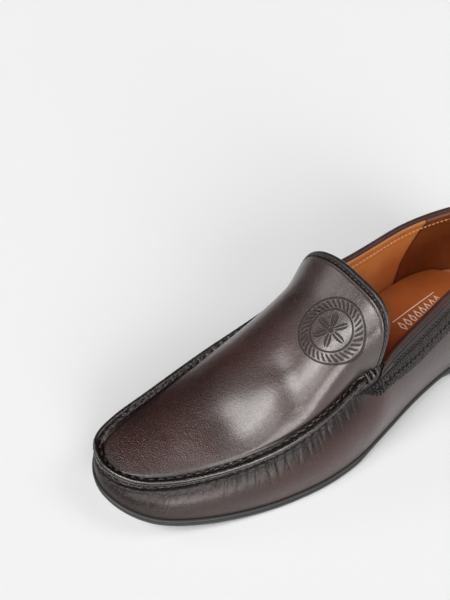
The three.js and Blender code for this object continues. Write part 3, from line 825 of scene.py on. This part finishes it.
def throat_roll(distance):
    """How far the throat's edge swells, and its stitched groove sinks, by distance from the edge."""
    groove = -0.00060 * bell(distance - THROAT_BAND, 0.00060)
    ridge = 0.00030 * bell(distance - THROAT_BAND - 0.0017, 0.0010)
    swell = 0.00045 * np.sin(np.pi * np.clip(distance / THROAT_BAND, 0, 1)) ** 0.7
    turned = 0.0013 * (1 - np.sqrt(np.clip(1 - (1 - np.clip(distance / 0.0013, 0, 1)) ** 2, 0, 1)))
    return groove + ridge + swell - turned


def apron_plug():
    near = np.arange(0, 0.05, 0.0013)
    u = CORNER + CORNER * np.concatenate([near, np.linspace(0.05, 1, 245)])
    s = (u - CORNER) / CORNER
    turns = np.linspace(0, np.pi, 131)
    sheet = np.stack([apron_point(s, np.full_like(s, turn)) for turn in turns], 1)
    normal = np.stack([blended_normal(s, np.full_like(s, turn)) for turn in turns], 1)
    strength = pucker_strength(u)
    pull = [strength * (0.5 + 0.5 * np.cos(stitch_phase(at))) for at in (u, TURN - u)]
    lateral = lip_rows(u, APRON_LIP, -1.0, pull[0])[::-1]
    medial = lip_rows(TURN - u, APRON_LIP, -1.0, pull[1])
    in_front = along_seam(u)
    trim = LIP_TRIM * (0.25 + 0.75 * in_front)
    middle = squeeze(sheet, trim)
    normal = unit(squeeze(normal, trim, sheet))
    seam_gap = from_seam(middle) + trim[:, None]
    relief = apron_relief(middle)
    throat_gap = np.linalg.norm(middle - middle[:1], axis=2)
    dip = -0.00045 * bell(seam_gap - 0.0034, 0.0012) * in_front[:, None]
    on_top = ramp(0.0, 0.0035, seam_gap)
    roll = throat_roll(throat_gap) * on_top
    back = middle - normal * (LEATHER + relief)[..., None]
    middle = middle + normal * (dip + roll - relief)[..., None]
    back[0] = back[0] * 0.5 + back[1] * 0.5
    rim = 0.85 * (1 - ramp(THROAT_BAND * 0.9, THROAT_BAND * 1.7, throat_gap))
    shade = 0.0060 + 0.0050 * ramp(0.35, 0.85, s)[:, None]
    matte = np.maximum(0.95 * np.exp(-seam_gap / shade), rim)
    edge = np.maximum(matte, 0.85 * ramp(0.72, 0.98, s)[:, None])
    # Painted shade over the apron's far (medial) side.
    edge = np.maximum(edge, ramp(*FAR_SIDE_SHADE, turns) * 0.35)
    lip = [np.full_like(u, 0.80)] * len(lateral)
    bare = [-row for row in lip]
    rows = [*lateral, *middle.swapaxes(0, 1), *medial]
    back = [back[:, 0], *back[:, ::6].swapaxes(0, 1), back[:, -1]]
    rest = [np.ones_like(u)] * len(back)
    away = [to_row(row) - to_row(ORNAMENT_AT) for row in rows + back[::-1]]
    flat = [np.stack([row @ ORNAMENT_ACROSS, row @ ORNAMENT_AHEAD, 0 * u], 1) for row in away]
    # Its two sides meet at the toe's tip, so only the throat is closed by a strip.
    return loft(("apron_leather", "apron_plug"), apron_look, rows, back, ends=(0,), ornament=flat,
                burnish=[*lip, *edge.T, *lip, *rest], matte=[*bare, *matte.T, *bare, *rest])


def squeeze(sheet, trim, measure=None):
    """The sheet's rows drawn in from both sides by `trim`, evenly in distance along each row."""
    measure = sheet if measure is None else measure
    steps = np.linalg.norm(np.diff(measure, axis=1), axis=2)
    travel = np.concatenate([np.zeros((len(sheet), 1)), np.cumsum(steps, 1)], 1)
    result = np.empty_like(sheet)
    for k in range(len(sheet)):
        total = travel[k, -1]
        cut = min(trim[k], 0.47 * total)
        even = 0.5 * travel[k] + 0.5 * np.linspace(0, total, len(travel[k]))
        wanted = cut + (total - 2 * cut) * even / max(total, 1e-9)
        for axis in range(3):
            result[k, :, axis] = np.interp(wanted, travel[k], sheet[k, :, axis])
    return result


def apron_relief(sheet):
    """How far the leather sinks below the plain shape, for rows of points from seam to seam: a soft
    hollow over the toes, and the crease behind it where the foot bends."""
    start, end = FLEX_CREASE
    run = end - start
    length = np.linalg.norm(run)
    rest = sheet[..., :2] - start
    share = (rest @ run) / length**2
    away = np.abs(rest[..., 0] * run[1] - rest[..., 1] * run[0]) / length
    fade = ramp(-0.45, 0.15, share) * (1 - ramp(0.90, 1.30, share))
    crease = 0.0012 * np.exp(-0.5 * (away / 0.0060) ** 2) * fade
    hollow = 0.0015 * np.exp(-0.5 * ((sheet[..., :2] - TOE_HOLLOW) ** 2).sum(-1) / 0.0100**2)
    return (crease + hollow) * ramp(0, 0.012, from_seam(sheet))


def from_seam(sheet):
    """Distance of each point of the sheet from the nearer end of its row."""
    return np.minimum(*(np.linalg.norm(sheet - sheet[:, end], axis=2) for end in ([0], [-1])))


def blended_normal(s, turn):
    """The apron's normal, turning into the seam's own rise at its two edges and at the toe."""
    side = np.where(turn < np.pi / 2, CORNER + s * CORNER, TURN - CORNER - s * CORNER)
    rise = seam_frame(side)[1]
    edge = np.minimum(turn, np.pi - turn)
    weight = np.maximum(1 - ramp(0.0, 0.12, edge), ramp(0.97, 1.0, s))[..., None]
    return unit(apron_normal(s, turn) * (1 - weight) + rise * weight)


ORNAMENT_PLACE = (0.150, np.pi / 2 - 0.16)      # from the throat's edge, and round the apron


def ornament_frame():
    """Centre of the pressed ornament on the apron, and its two directions."""
    s, turn = np.array(ORNAMENT_PLACE)[:, None]
    centre = apron_point(s, turn)[0]
    normal = apron_normal(s, turn)[0]
    ahead = unit((apron_point(s + 0.02, turn) - apron_point(s - 0.02, turn))[0])
    across = unit(np.cross(normal, ahead))
    return centre, across, ahead


ORNAMENT_AT, ORNAMENT_ACROSS, ORNAMENT_AHEAD = ornament_frame()

# ---- Collar ----

BAND_SMOOTH = 0.0086            # depth of the plain part of the collar band, above the punching
HOLE_PITCH = 0.0040
TOOTH_PITCH = 0.0026
BAND_FRONT = 0.95               # how many stations in front of the corner the band dies out
BAND_LIFT = 0.00125             # the band's face over the wall
BAND_BACK = 0.0001              # and its back
BACK_SHARES = (0, 0.33, 0.66, 1)    # rows of a thin layer's back, from one edge to the other


def band_reach(u):
    """Depths of the band's plain part and of its lower edge: both narrow towards the corner."""
    widen = ramp(7.6, 10.2, from_toe(u))
    return BAND_SMOOTH * (0.66 + 0.34 * widen), COLLAR_BAND * (0.66 + 0.34 * widen)


def collar_band(names, start, end):
    """The band along the topline: plain above, punched below, with a gimped lower edge. In front of
    the throat's corner it passes under the bar tack and dies out into the wall."""
    u = stations(start, end, 0.00038)
    travel = travel_of(u)
    length = wall_height(u)
    ahead = TOE - from_toe(u) - CORNER
    smooth, low = band_reach(u)
    top = 0.0008 + 0.0052 * ramp(-0.25, 0.25, ahead)
    low = top + (low - top) * (1 - 0.96 * ramp(0.15, BAND_FRONT, ahead))
    fade = 1 - ramp(0.10, BAND_FRONT, ahead)
    teeth = np.abs(np.mod(travel / TOOTH_PITCH, 1) - 0.5) * 2
    low = low + 0.0009 * teeth * fade
    rows = []
    burnish = []
    for share in np.linspace(0, 1, 72):
        below = top + (low - top) * share
        sunk, dark = punching(travel, below, smooth, low)
        roll = BAND_LIFT - 0.0008 * ramp(0.95, 1.0, share) - 0.0004 * ramp(0.03, 0.0, share)
        rows.append(wall_layer(u, 1 - below / length, (roll - sunk) * fade + 0.00025 * (1 - fade)))
        burnish.append(dark * fade + 0.9 * (1 - fade))
    back = [wall_layer(u, 1 - (top + (low - top) * share) / length, BAND_BACK) for share in BACK_SHARES]
    burnish += [np.ones_like(u)] * len(back)
    return loft(names, collar_look, rows, back, burnish=burnish)


def punching(travel, below, smooth, low):
    """How far the band is pressed in at each point, and how dark it is there: the band's own tone, with
    painted shade in its holes and groove.
    """
    middle = smooth + (low - smooth) * 0.50
    spread = np.clip((low - smooth) / 0.0134, 0.35, 1)
    rows = [(middle, 0.0, 0.00110, HOLE_PITCH), (middle, 0.5, 0.00050, HOLE_PITCH)]
    for index, step in enumerate((0.0022, 0.0037, 0.0052)):
        for side in (-1, 1):
            rows.append((middle + side * step * spread, 0.25 * (index % 2), 0.00052, HOLE_PITCH / 2))
    sunk = np.zeros_like(travel)
    for centre, shift, radius, pitch in rows:
        offset = (np.mod(travel / pitch + shift, 1) - 0.5) * pitch
        away = np.hypot(offset, below - centre)
        sunk = np.maximum(sunk, 0.0011 * (1 - ramp(radius * 0.8, radius * 1.25, away)))
    groove = 0.00050 * bell(below - smooth, 0.0006)
    crease = 0.00035 * bell(below - 0.0030, 0.0005)
    punched = ramp(-0.0006, 0.0006, below - smooth)
    # Painted shade in the punched holes and the groove, over the band's own darker tone where it is punched.
    dark = np.clip(0.05 + 0.25 * punched + sunk / 0.0006 + groove / 0.0008, 0, 1)
    return np.maximum.reduce([sunk, groove, crease]), dark


def topline_taper(u):
    """How far the topline's padding swells: less just behind the apron's corners."""
    return 0.4 + 0.6 * ramp(CORNER - 0.2, CORNER - 0.9, TOE - from_toe(u))


def topline_rows(u, profile):
    """Rows along the topline, from pairs of how far out and how high each lies."""
    top = wall_layer(u, 1.0, 0.0)
    normal = wall_normal(u, np.ones_like(u))
    taper = topline_taper(u)
    return [top + normal * side + UP * (high * taper)[:, None] for side, high in profile]


def topline_binding():
    """The folded strip over the outer part of the topline."""
    u = stations(-CORNER + 0.2, CORNER - 0.2, 0.0009)
    front = [(0.0012, -0.0020), (0.0015, -0.0014), (0.0016, -0.0006), (0.0014, 0.0002), (0.0009, 0.0008),
             (0.0002, 0.0012), (-0.0006, 0.0014), (-0.0013, 0.0014), (-0.0019, 0.0012), (-0.0023, 0.0008),
             (-0.0024, 0.0003)]
    back = [(0.0008, -0.0019), (0.0003, 0.0), (-0.0012, 0.0001), (-0.0020, 0.0002)]
    tones = [0.95, 0.9, 0.7, 0.4, 0.2, 0.1, 0.1, 0.25, 0.5, 0.8, 0.95] + [1.0] * len(back)
    return loft(("topline_roll", "topline_binding"), binding_look, topline_rows(u, front),
                topline_rows(u, back), burnish=[np.full_like(u, tone) for tone in tones])


def heel_backstay():
    u = stations(-0.5, 0.5, 0.0006)
    edge = np.abs(u) / 0.5
    lift = BAND_LIFT - 0.0009 * ramp(0.90, 1.0, edge)
    lift = lift - 0.0004 * bell(edge - 0.78, 0.05)
    rows = [wall_layer(u, v, lift) for v in np.linspace(0.02, 0.985, 70)]
    back = [wall_layer(u, v, BAND_BACK) for v in (0.02, 0.5, 0.985)]
    burnish = [0.25 + 0.7 * ramp(0.7, 1.0, edge)] * (len(rows) + len(back))
    return loft(("heel_strip", "heel_backstay"), collar_look, rows, back, burnish=burnish)


# ---- Inside ----

LINING_FACE = 0.0039            # the lining's inner face, behind the wall's outer face
LINING_BACK = 0.0029
LINING_CHANNEL = 0.0062         # its stitched channel, below the rim
LINING_ROLL = [(-0.0038, -0.0003), (-0.0034, 0.0002), (-0.0029, 0.0005), (-0.0024, 0.0006),
               (-0.0018, 0.0006)]


def wall_lining(names, look, start, end, rolled=True, lean=(0.0, 0.0)):
    """A lining of the wall. Along the topline its edge rolls outwards to meet the binding. `lean` is
    how many stations further round the lower end of each of its two end seams lies."""
    span = stations(start, end, 0.0012)
    part = (span - start) / (end - start)
    length = wall_height(span)
    low = 0.0033 / length
    top = 1 - 0.0012 / length if rolled else np.ones_like(span)
    travel = travel_of(span)
    edge = np.minimum(travel - travel.min(), travel.max() - travel)
    tucked = 0.0004 * np.exp(-edge / 0.0007)

    def row(share, offset):
        u = span + (lean[0] * (1 - part) + lean[1] * part) * (1 - share) ** 1.4
        return wall_layer(u, low + (top - low) * share, offset)

    rows = []
    burnish = []
    for share in np.linspace(0, 1, 44):
        below = (1 - (low + (top - low) * share)) * length
        soft = 0.00030 * np.sin(travel * 190 + share * 7) * np.sin(np.pi * share)
        crease = 0.00035 * bell(below - 0.0120, 0.0007) * rolled
        channel = 0.00025 * bell(below - LINING_CHANNEL, 0.0009) * rolled
        rows.append(row(share, -LINING_FACE - soft + crease + channel + tucked))
        # Painted shade: darker at the lining's ends, towards its foot, in its crease and along its top.
        shade = 0.8 * np.exp(-edge / 0.0008) + 0.35 * np.exp(-share * 14) + crease * 900
        burnish.append(np.clip(shade + 0.60 * np.exp(-below / 0.0035) * rolled, 0, 1))
    if rolled:
        rows += topline_rows(span, LINING_ROLL)
        # Painted shade along the rolled top.
        burnish += [np.full_like(span, 0.70)] * len(LINING_ROLL)
    back = [row(share, -LINING_BACK) for share in BACK_SHARES]
    return loft(names, look, rows, back, burnish=burnish + [np.ones_like(span)] * len(back))


def apron_lining():
    s = np.linspace(0.004, 1, 120)
    turns = [np.full_like(s, turn) for turn in np.linspace(0, np.pi, 80)]
    sheet = np.stack([apron_point(s, turn) for turn in turns], 1)
    normal = np.stack([blended_normal(s, turn) for turn in turns], 1)
    sunk = apron_relief(sheet)
    faces = [sheet - normal * (offset + sunk)[..., None] for offset in (0.0022, LINING_FACE)]
    inside, outside = (list(face.swapaxes(0, 1)) for face in faces)
    return loft(("instep_lining", "apron_lining"), lining_look_with_painted_fill, inside, outside)


def inside_lining(u, low, high):
    """Outline just clear of the lining: its nearest part between two heights over the feather."""
    floor = wall_point(u, np.zeros_like(u))[:, 2]
    out = outwards(sole_curve, u)
    faces = np.stack([wall_layer(u, v, -LINING_FACE) for v in np.linspace(0.02, 0.95, 125)])
    inside = (faces[..., 2] > floor + low) & (faces[..., 2] < floor + high)
    reach = np.where(inside, (faces * out).sum(-1), np.inf)
    nearest = np.where(inside.any(0), np.argmin(reach, 0), -1)
    outline = faces[nearest, np.arange(len(u))] - out * 0.0006
    outline[:, 0] -= 0.006 * (1 - ramp(0, 2.2, from_toe(u)))
    outline[:, 2] = 0
    return outline


SOCK_MARK_AT = np.array([0.058, -0.003, 0.0])       # centre of the print
SOCK_MARK_TURN = np.radians(8.0)
SOCK_TIP = 0.02                 # stations left out at its two tips
SOCK_HEIGHT = 0.0070            # over the feather
SOCK_THICKNESS = 0.0009


def sock_liner():
    """The padded sock: its rim cups up against the linings, and a soft pad fills its middle."""
    u = stations(SOCK_TIP, TOE - SOCK_TIP, 0.0013, sole_curve)
    lateral, medial = (inside_lining(at, 0.005, 0.011) for at in (u, TURN - u))
    width = np.linalg.norm(lateral - medial, axis=1)
    rows = []
    for w in (1 - np.cos(np.linspace(0, np.pi, 64))) / 2:
        point = lateral * (1 - w) + medial * w
        x = point[:, 0]
        away = np.minimum(w, 1 - w) * width + 0.6 * np.minimum(x - x.min(), 0.02)
        cup = 0.0026 * np.exp(-away / 0.0045) * ramp(0, 0.03, width)
        pad = -0.0014 * bell(away - 0.0085, 0.0016) + 0.0006 * ramp(0.009, 0.013, away)
        seat = -0.0008 * bell(x - 0.040, 0.03) * np.sin(np.pi * w)
        point[:, 2] = feather_z(x) + SOCK_HEIGHT + cup + pad + seat
        rows.append(point)
    under = [row - np.array([0, 0, SOCK_THICKNESS]) for row in rows[::7]]
    c, s = np.cos(SOCK_MARK_TURN), np.sin(SOCK_MARK_TURN)
    mark = []
    for row in rows + under[::-1]:
        x, y, _ = (row - SOCK_MARK_AT).T
        mark.append(np.stack([c * x + s * y, c * y - s * x, 0 * x], 1))
    count = np.arange(len(rows))
    # Painted shade: the sock darkens towards its rim, in the corner against the linings.
    rim = np.exp(-count / 2.5) + np.exp(-count[::-1] / 2.5)
    tone = [np.full_like(u, shade) for shade in [*(0.6 * np.clip(rim, 0, 1)), *np.ones(len(under))]]
    return loft(("sock_leather", "sock_liner"), sock_look, rows, under, ornament=mark, burnish=tone)


# ---- Threads ----

# Each kind of stitch: pitch, length and radius.
SEAM_STITCH = (STITCH_PITCH, 0.0038, 0.00052)
ROW_STITCH = (0.0029, 0.0029 * 0.72, 0.00036)
THROAT_STITCH = (0.0033, 0.0024, 0.00050)
COLLAR_STITCH_AT = 0.0013       # middle of a row's stitches, outwards from the wall's face
LINING_STITCH_AT = -0.0037
STITCH_HEIGHT = 0.0014          # of the seam's stitches, up its flank
STITCH_SIDE = 0.00178           # and from the seam's middle plane
CORD_RADIUS = 0.0012            # of the bar tack's wraps


def tubes(names, look, spines, corners):
    """A piece of closed tubes, each given by its spine, two directions across it, and its girth."""
    angles = np.linspace(0, 2 * np.pi, corners + 1)[:-1]
    points = []
    faces = []
    for spine, side, over, girth in spines:
        cosine, sine = (wave(angles)[None, :, None] * girth[:, None, None] for wave in (np.cos, np.sin))
        rings = spine[:, None] + side[:, None] * cosine + over[:, None] * sine
        grid = np.arange(len(spine) * corners).reshape(-1, corners) + len(points) * len(spine) * corners
        points.append(rings.reshape(-1, 3))
        faces.append(between(grid[:-1], grid[1:]))
        for ring in (grid[0], grid[-1]):
            faces.append(end_strip(ring[:corners // 2 + 1], np.roll(ring[::-1], 1)[:corners // 2 + 1]))
    return piece(names, look, np.concatenate(points), faces)


def stitch_row(names, look, path, lift, stitch, shift=0.0):
    """Single stitches along a path, each a short bowed cord whose ends dive into the leather."""
    pitch, length, radius = stitch
    steps = np.linalg.norm(np.diff(path, axis=0), axis=1)
    travel = np.concatenate([[0], np.cumsum(steps)])
    t = np.linspace(-1, 1, 9)
    girth = radius * np.sqrt(np.clip(1 - 0.75 * np.abs(t) ** 4, 0.05, 1))
    bow = (radius * (0.75 - 1.5 * np.abs(t) ** 3))[:, None]
    spines = []
    for centre in np.arange(pitch * (0.5 + shift), travel[-1] - pitch * 0.4, pitch):
        s = centre + t * length / 2
        spine, up = (np.stack([np.interp(s, travel, axis) for axis in line.T], 1) for line in (path, lift))
        up = unit(up)
        spine = spine + up * bow
        run = unit(np.gradient(spine, axis=0))
        side = unit(np.cross(run, up))
        spines.append((spine, side, np.cross(side, run), girth))
    return tubes(names, look, spines, 8)


def seam_stitches(names, side):
    """Stitches low on one flank of the seam, each a little slanted."""
    u = stations(CORNER + 0.75, TURN - CORNER - 0.75, 0.0004)
    _, rise, across, height = seam_frame(u)
    phase = stitch_phase(u) / (2 * np.pi) - 0.5
    slant = (np.mod(phase, 1) - 0.5) * 0.0016 * np.sign(u - TOE)
    high = STITCH_HEIGHT + slant * np.where(side > 0, 1, 0.5)
    path = seam_point(u, np.full_like(u, side * STITCH_SIDE), high * height / RIDGE_HEIGHT)
    lift = across * side + rise * 0.2
    first = float(stitch_phase(CORNER + 0.75)) / (2 * np.pi)
    shift = math.ceil(first) - first
    return stitch_row(names, dark_thread_look, path, lift, SEAM_STITCH, shift)


def wall_stitches(names, look, start, end, below, offset, inwards=False):
    """A row of stitches at a depth `below` the rim at each station, `offset` from the wall's face."""
    u = stations(start, end, 0.0008)
    v = 1 - below(u) / wall_height(u)
    lift = wall_normal(u, v) * (-1 if inwards else 1)
    return stitch_row(names, look, wall_layer(u, v, offset), lift, ROW_STITCH)


def throat_stitches():
    turn = np.linspace(0.02, np.pi - 0.02, 1600)
    edge = apron_point(np.zeros_like(turn), turn)
    away = np.linspace(0, 0.06, 61)
    grid = np.stack([apron_point(np.full_like(turn, s), turn) for s in away], 1)
    gap = np.linalg.norm(grid - edge[:, None], axis=2)
    s = np.array([np.interp(THROAT_BAND, row, away) for row in gap])
    path = apron_point(s, turn) - apron_normal(s, turn) * 0.0004
    return stitch_row(("throat_stitches", "throat_thread"), dark_thread_look, path, apron_normal(s, turn),
                      THROAT_STITCH)


def bar_tack(names, corner, direction):
    """Three wraps of waxed cord over the end of the seam."""
    angle = np.linspace(-0.25, np.pi + 0.25, 21)[:, None]
    spines = []
    for k in range(3):
        u = np.array([corner + direction * (0.22 + 0.175 * k)])
        base, rise, across, height = (x[0] for x in seam_frame(u))
        run = unit(np.cross(across, rise))
        spine = (base + across * 0.0026 * np.cos(angle) + rise * ((height + 0.0018) * np.sin(angle) - 0.0006)
                 + run * 0.0009 * np.cos(angle))
        heading = unit(np.gradient(spine, axis=0))
        side = unit(np.cross(heading, run))
        spines.append((spine, side, np.cross(side, heading), np.full(len(spine), CORD_RADIUS)))
    return tubes(names, cord_look, spines, 12)


def band_stitch(u):
    """Depth of the collar's stitches below the rim."""
    return band_reach(u)[0] - 0.0012


def lining_stitch(u):
    return np.full_like(u, LINING_CHANNEL)


# ---- The pieces ----

HEEL_END = 3.25                 # station where the heel's lining ends
HEEL_LEAN = 0.55                # how much further forward the lower ends of its seams lie
LINING_GAP = 0.03               # stations between two linings
CORNER_GAP = 0.02               # stations between a lining's end and the corner
BAND_END = 0.56                 # station where the collar band ends beside the backstay


def both_sides(start, end):
    """A stretch of the shoe and its mirror image: side, first station and last station."""
    return ("lateral", start, end), ("medial", TURN - end, TURN - start)


outsole()
welt_rand()
wall_upper()
apron_plug()
for side, start, end in both_sides(BAND_END, CORNER + BAND_FRONT):
    collar_band((f"collar_band_{side}", f"collar_overlay_{side}"), start, end)
topline_binding()
heel_backstay()
wall_lining(("heel_lining_leather", "heel_lining"), heel_look, -HEEL_END, HEEL_END,
            lean=(-HEEL_LEAN, HEEL_LEAN))
for side, start, end in both_sides(HEEL_END + LINING_GAP, CORNER - CORNER_GAP):
    wall_lining((f"quarter_lining_{side}_leather", f"quarter_lining_{side}"), lining_look_with_painted_fill, start, end,
                lean=(HEEL_LEAN, 0.0) if side == "lateral" else (0.0, -HEEL_LEAN))
wall_lining(("toe_lining_leather", "vamp_lining"), lining_look_with_painted_fill,
            CORNER + CORNER_GAP, TURN - CORNER - CORNER_GAP, rolled=False)
apron_lining()
sock_liner()
seam_stitches(("seam_stitches_outer", "moc_seam_thread_outer"), 1.0)
seam_stitches(("seam_stitches_inner", "moc_seam_thread_inner"), -1.0)
throat_stitches()
for side, start, end in both_sides(BAND_END, CORNER - 0.5):
    wall_stitches((f"collar_stitches_{side}", f"collar_thread_{side}"), dark_thread_look,
                  start, end, band_stitch, COLLAR_STITCH_AT)
for side, start, end in both_sides(0.0, CORNER - 0.3):
    wall_stitches((f"lining_stitches_{side}", f"lining_thread_{side}"), tan_thread_look,
                  start, end, lining_stitch, LINING_STITCH_AT, inwards=True)
for side, corner, direction in (("lateral", CORNER, 1), ("medial", TURN - CORNER, -1)):
    bar_tack((f"bar_tack_wraps_{side}", f"bar_tack_{side}"), corner, direction)

INNER_LOOKS = {
    "bottom_filler": plain_stuff("cork", rgb(0.42, 0.27, 0.14), rgb(0.18, 0.10, 0.05), 500.0, 0.9),
    "insole_board": plain_stuff("fibre_board", rgb(0.40, 0.28, 0.18), rgb(0.30, 0.20, 0.12), 700.0, 0.85),
    "heel_counter": plain_stuff("counter_sheet", rgb(0.60, 0.57, 0.50), rgb(0.50, 0.47, 0.40), 300.0, 0.8),
    "footbed_foam": plain_stuff("foam_sheet", rgb(0.75, 0.69, 0.56), rgb(0.62, 0.56, 0.44), 900.0, 0.95),
    "shank": plain_stuff("spring_steel", rgb(0.56, 0.56, 0.58), rgb(0.44, 0.44, 0.46), 250.0, 0.35,
                         metallic=1.0, bump=0.05),
}
INNER_LOOKS["toe_puff"] = INNER_LOOKS["heel_counter"]
for side in ("lateral", "medial"):
    INNER_LOOKS[f"collar_foam_{side}"] = INNER_LOOKS["footbed_foam"]
for node, look in INNER_LOOKS.items():
    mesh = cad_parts[node].data
    mesh.materials.clear()
    mesh.materials.append(look)

# ---- Floor, light and camera ----


def floor():
    n = material_nodes("pale_floor")
    shade = n.blend(n.noise(3.0, 2.0, 0.5), rgb(0.905, 0.905, 0.905), rgb(0.925, 0.925, 0.925))
    look = n.surface(Base_Color=shade, Roughness=0.75, Specular_IOR_Level=0.2)
    bpy.ops.mesh.primitive_plane_add(size=12, location=(0, 0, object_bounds()[0][2]))
    plane = bpy.context.object
    plane.name = "floor"
    plane.data.materials.append(look)
    plane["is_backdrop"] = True


def light_patch(n, heading, centre, inner, outer, level):
    """Brightness of one soft round light of the studio, by the angle from its centre."""
    azimuth, elevation = np.radians(centre)
    towards = (math.cos(elevation) * math.cos(azimuth), math.cos(elevation) * math.sin(azimuth),
               math.sin(elevation))
    near = n.add("VectorMath", {0: heading, 1: towards}, operation="DOT_PRODUCT").outputs["Value"]
    return n.spread(near, math.cos(math.radians(outer)), math.cos(math.radians(inner)), 0.0, level)


def studio():
    """A dim room with a faint horizon and a few large soft lights."""
    world = bpy.data.worlds.new("studio")
    n = Nodes(world)
    heading = n.add("TexCoord").outputs["Generated"]
    height = n.add("SeparateXYZ", {0: heading}).outputs[2]
    level = n.spread(n.size(height), 0.36, 0.10, ROOM_LEVEL, HORIZON_LEVEL)
    for patch in STUDIO_LIGHTS:
        level = n.plus(level, light_patch(n, heading, *patch))
    back = world.node_tree.nodes["Background"]
    n.feed(back.inputs["Strength"], level)
    back.inputs["Color"].default_value = rgb(1.0, 1.0, 1.0)
    bpy.context.scene.world = world


# Each light of the studio: azimuth and elevation, inner and outer radius in degrees, brightness.
STUDIO_LIGHTS = [
    ((-6, 53), 7, 17, 8.8),
    ((30, 42), 11, 24, 3.4),
    ((76, 21), 10, 23, 6.2),
    ((-46, 32), 5, 13, 3.0),
    ((146, 50), 8, 19, 2.6),
]
ROOM_LEVEL = 0.02
HORIZON_LEVEL = 0.05
CAMERA_STAND = (0.36455, 0.23325, 0.40711)      # in the last's frame
CAMERA_AIM = (0.15118, -0.09532, 0.0)
CAMERA_LENS = 49.04                             # millimetres


def camera():
    """The camera looks down on the shoe from in front of its toe, on the lateral side."""
    stand, aim = (to_row(np.array(at)) for at in (CAMERA_STAND, CAMERA_AIM))
    data = bpy.data.cameras.new("camera")
    data.lens = CAMERA_LENS
    data.sensor_width = 36.0
    data.clip_start = 0.01
    obj = bpy.data.objects.new("camera", data)
    obj.location = stand
    obj.rotation_euler = (Vector(aim) - Vector(stand)).to_track_quat("-Z", "Y").to_euler()
    bpy.context.scene.collection.objects.link(obj)
    bpy.context.scene.camera = obj


floor()
studio()
camera()
bpy.context.scene.view_settings.view_transform = "Standard"
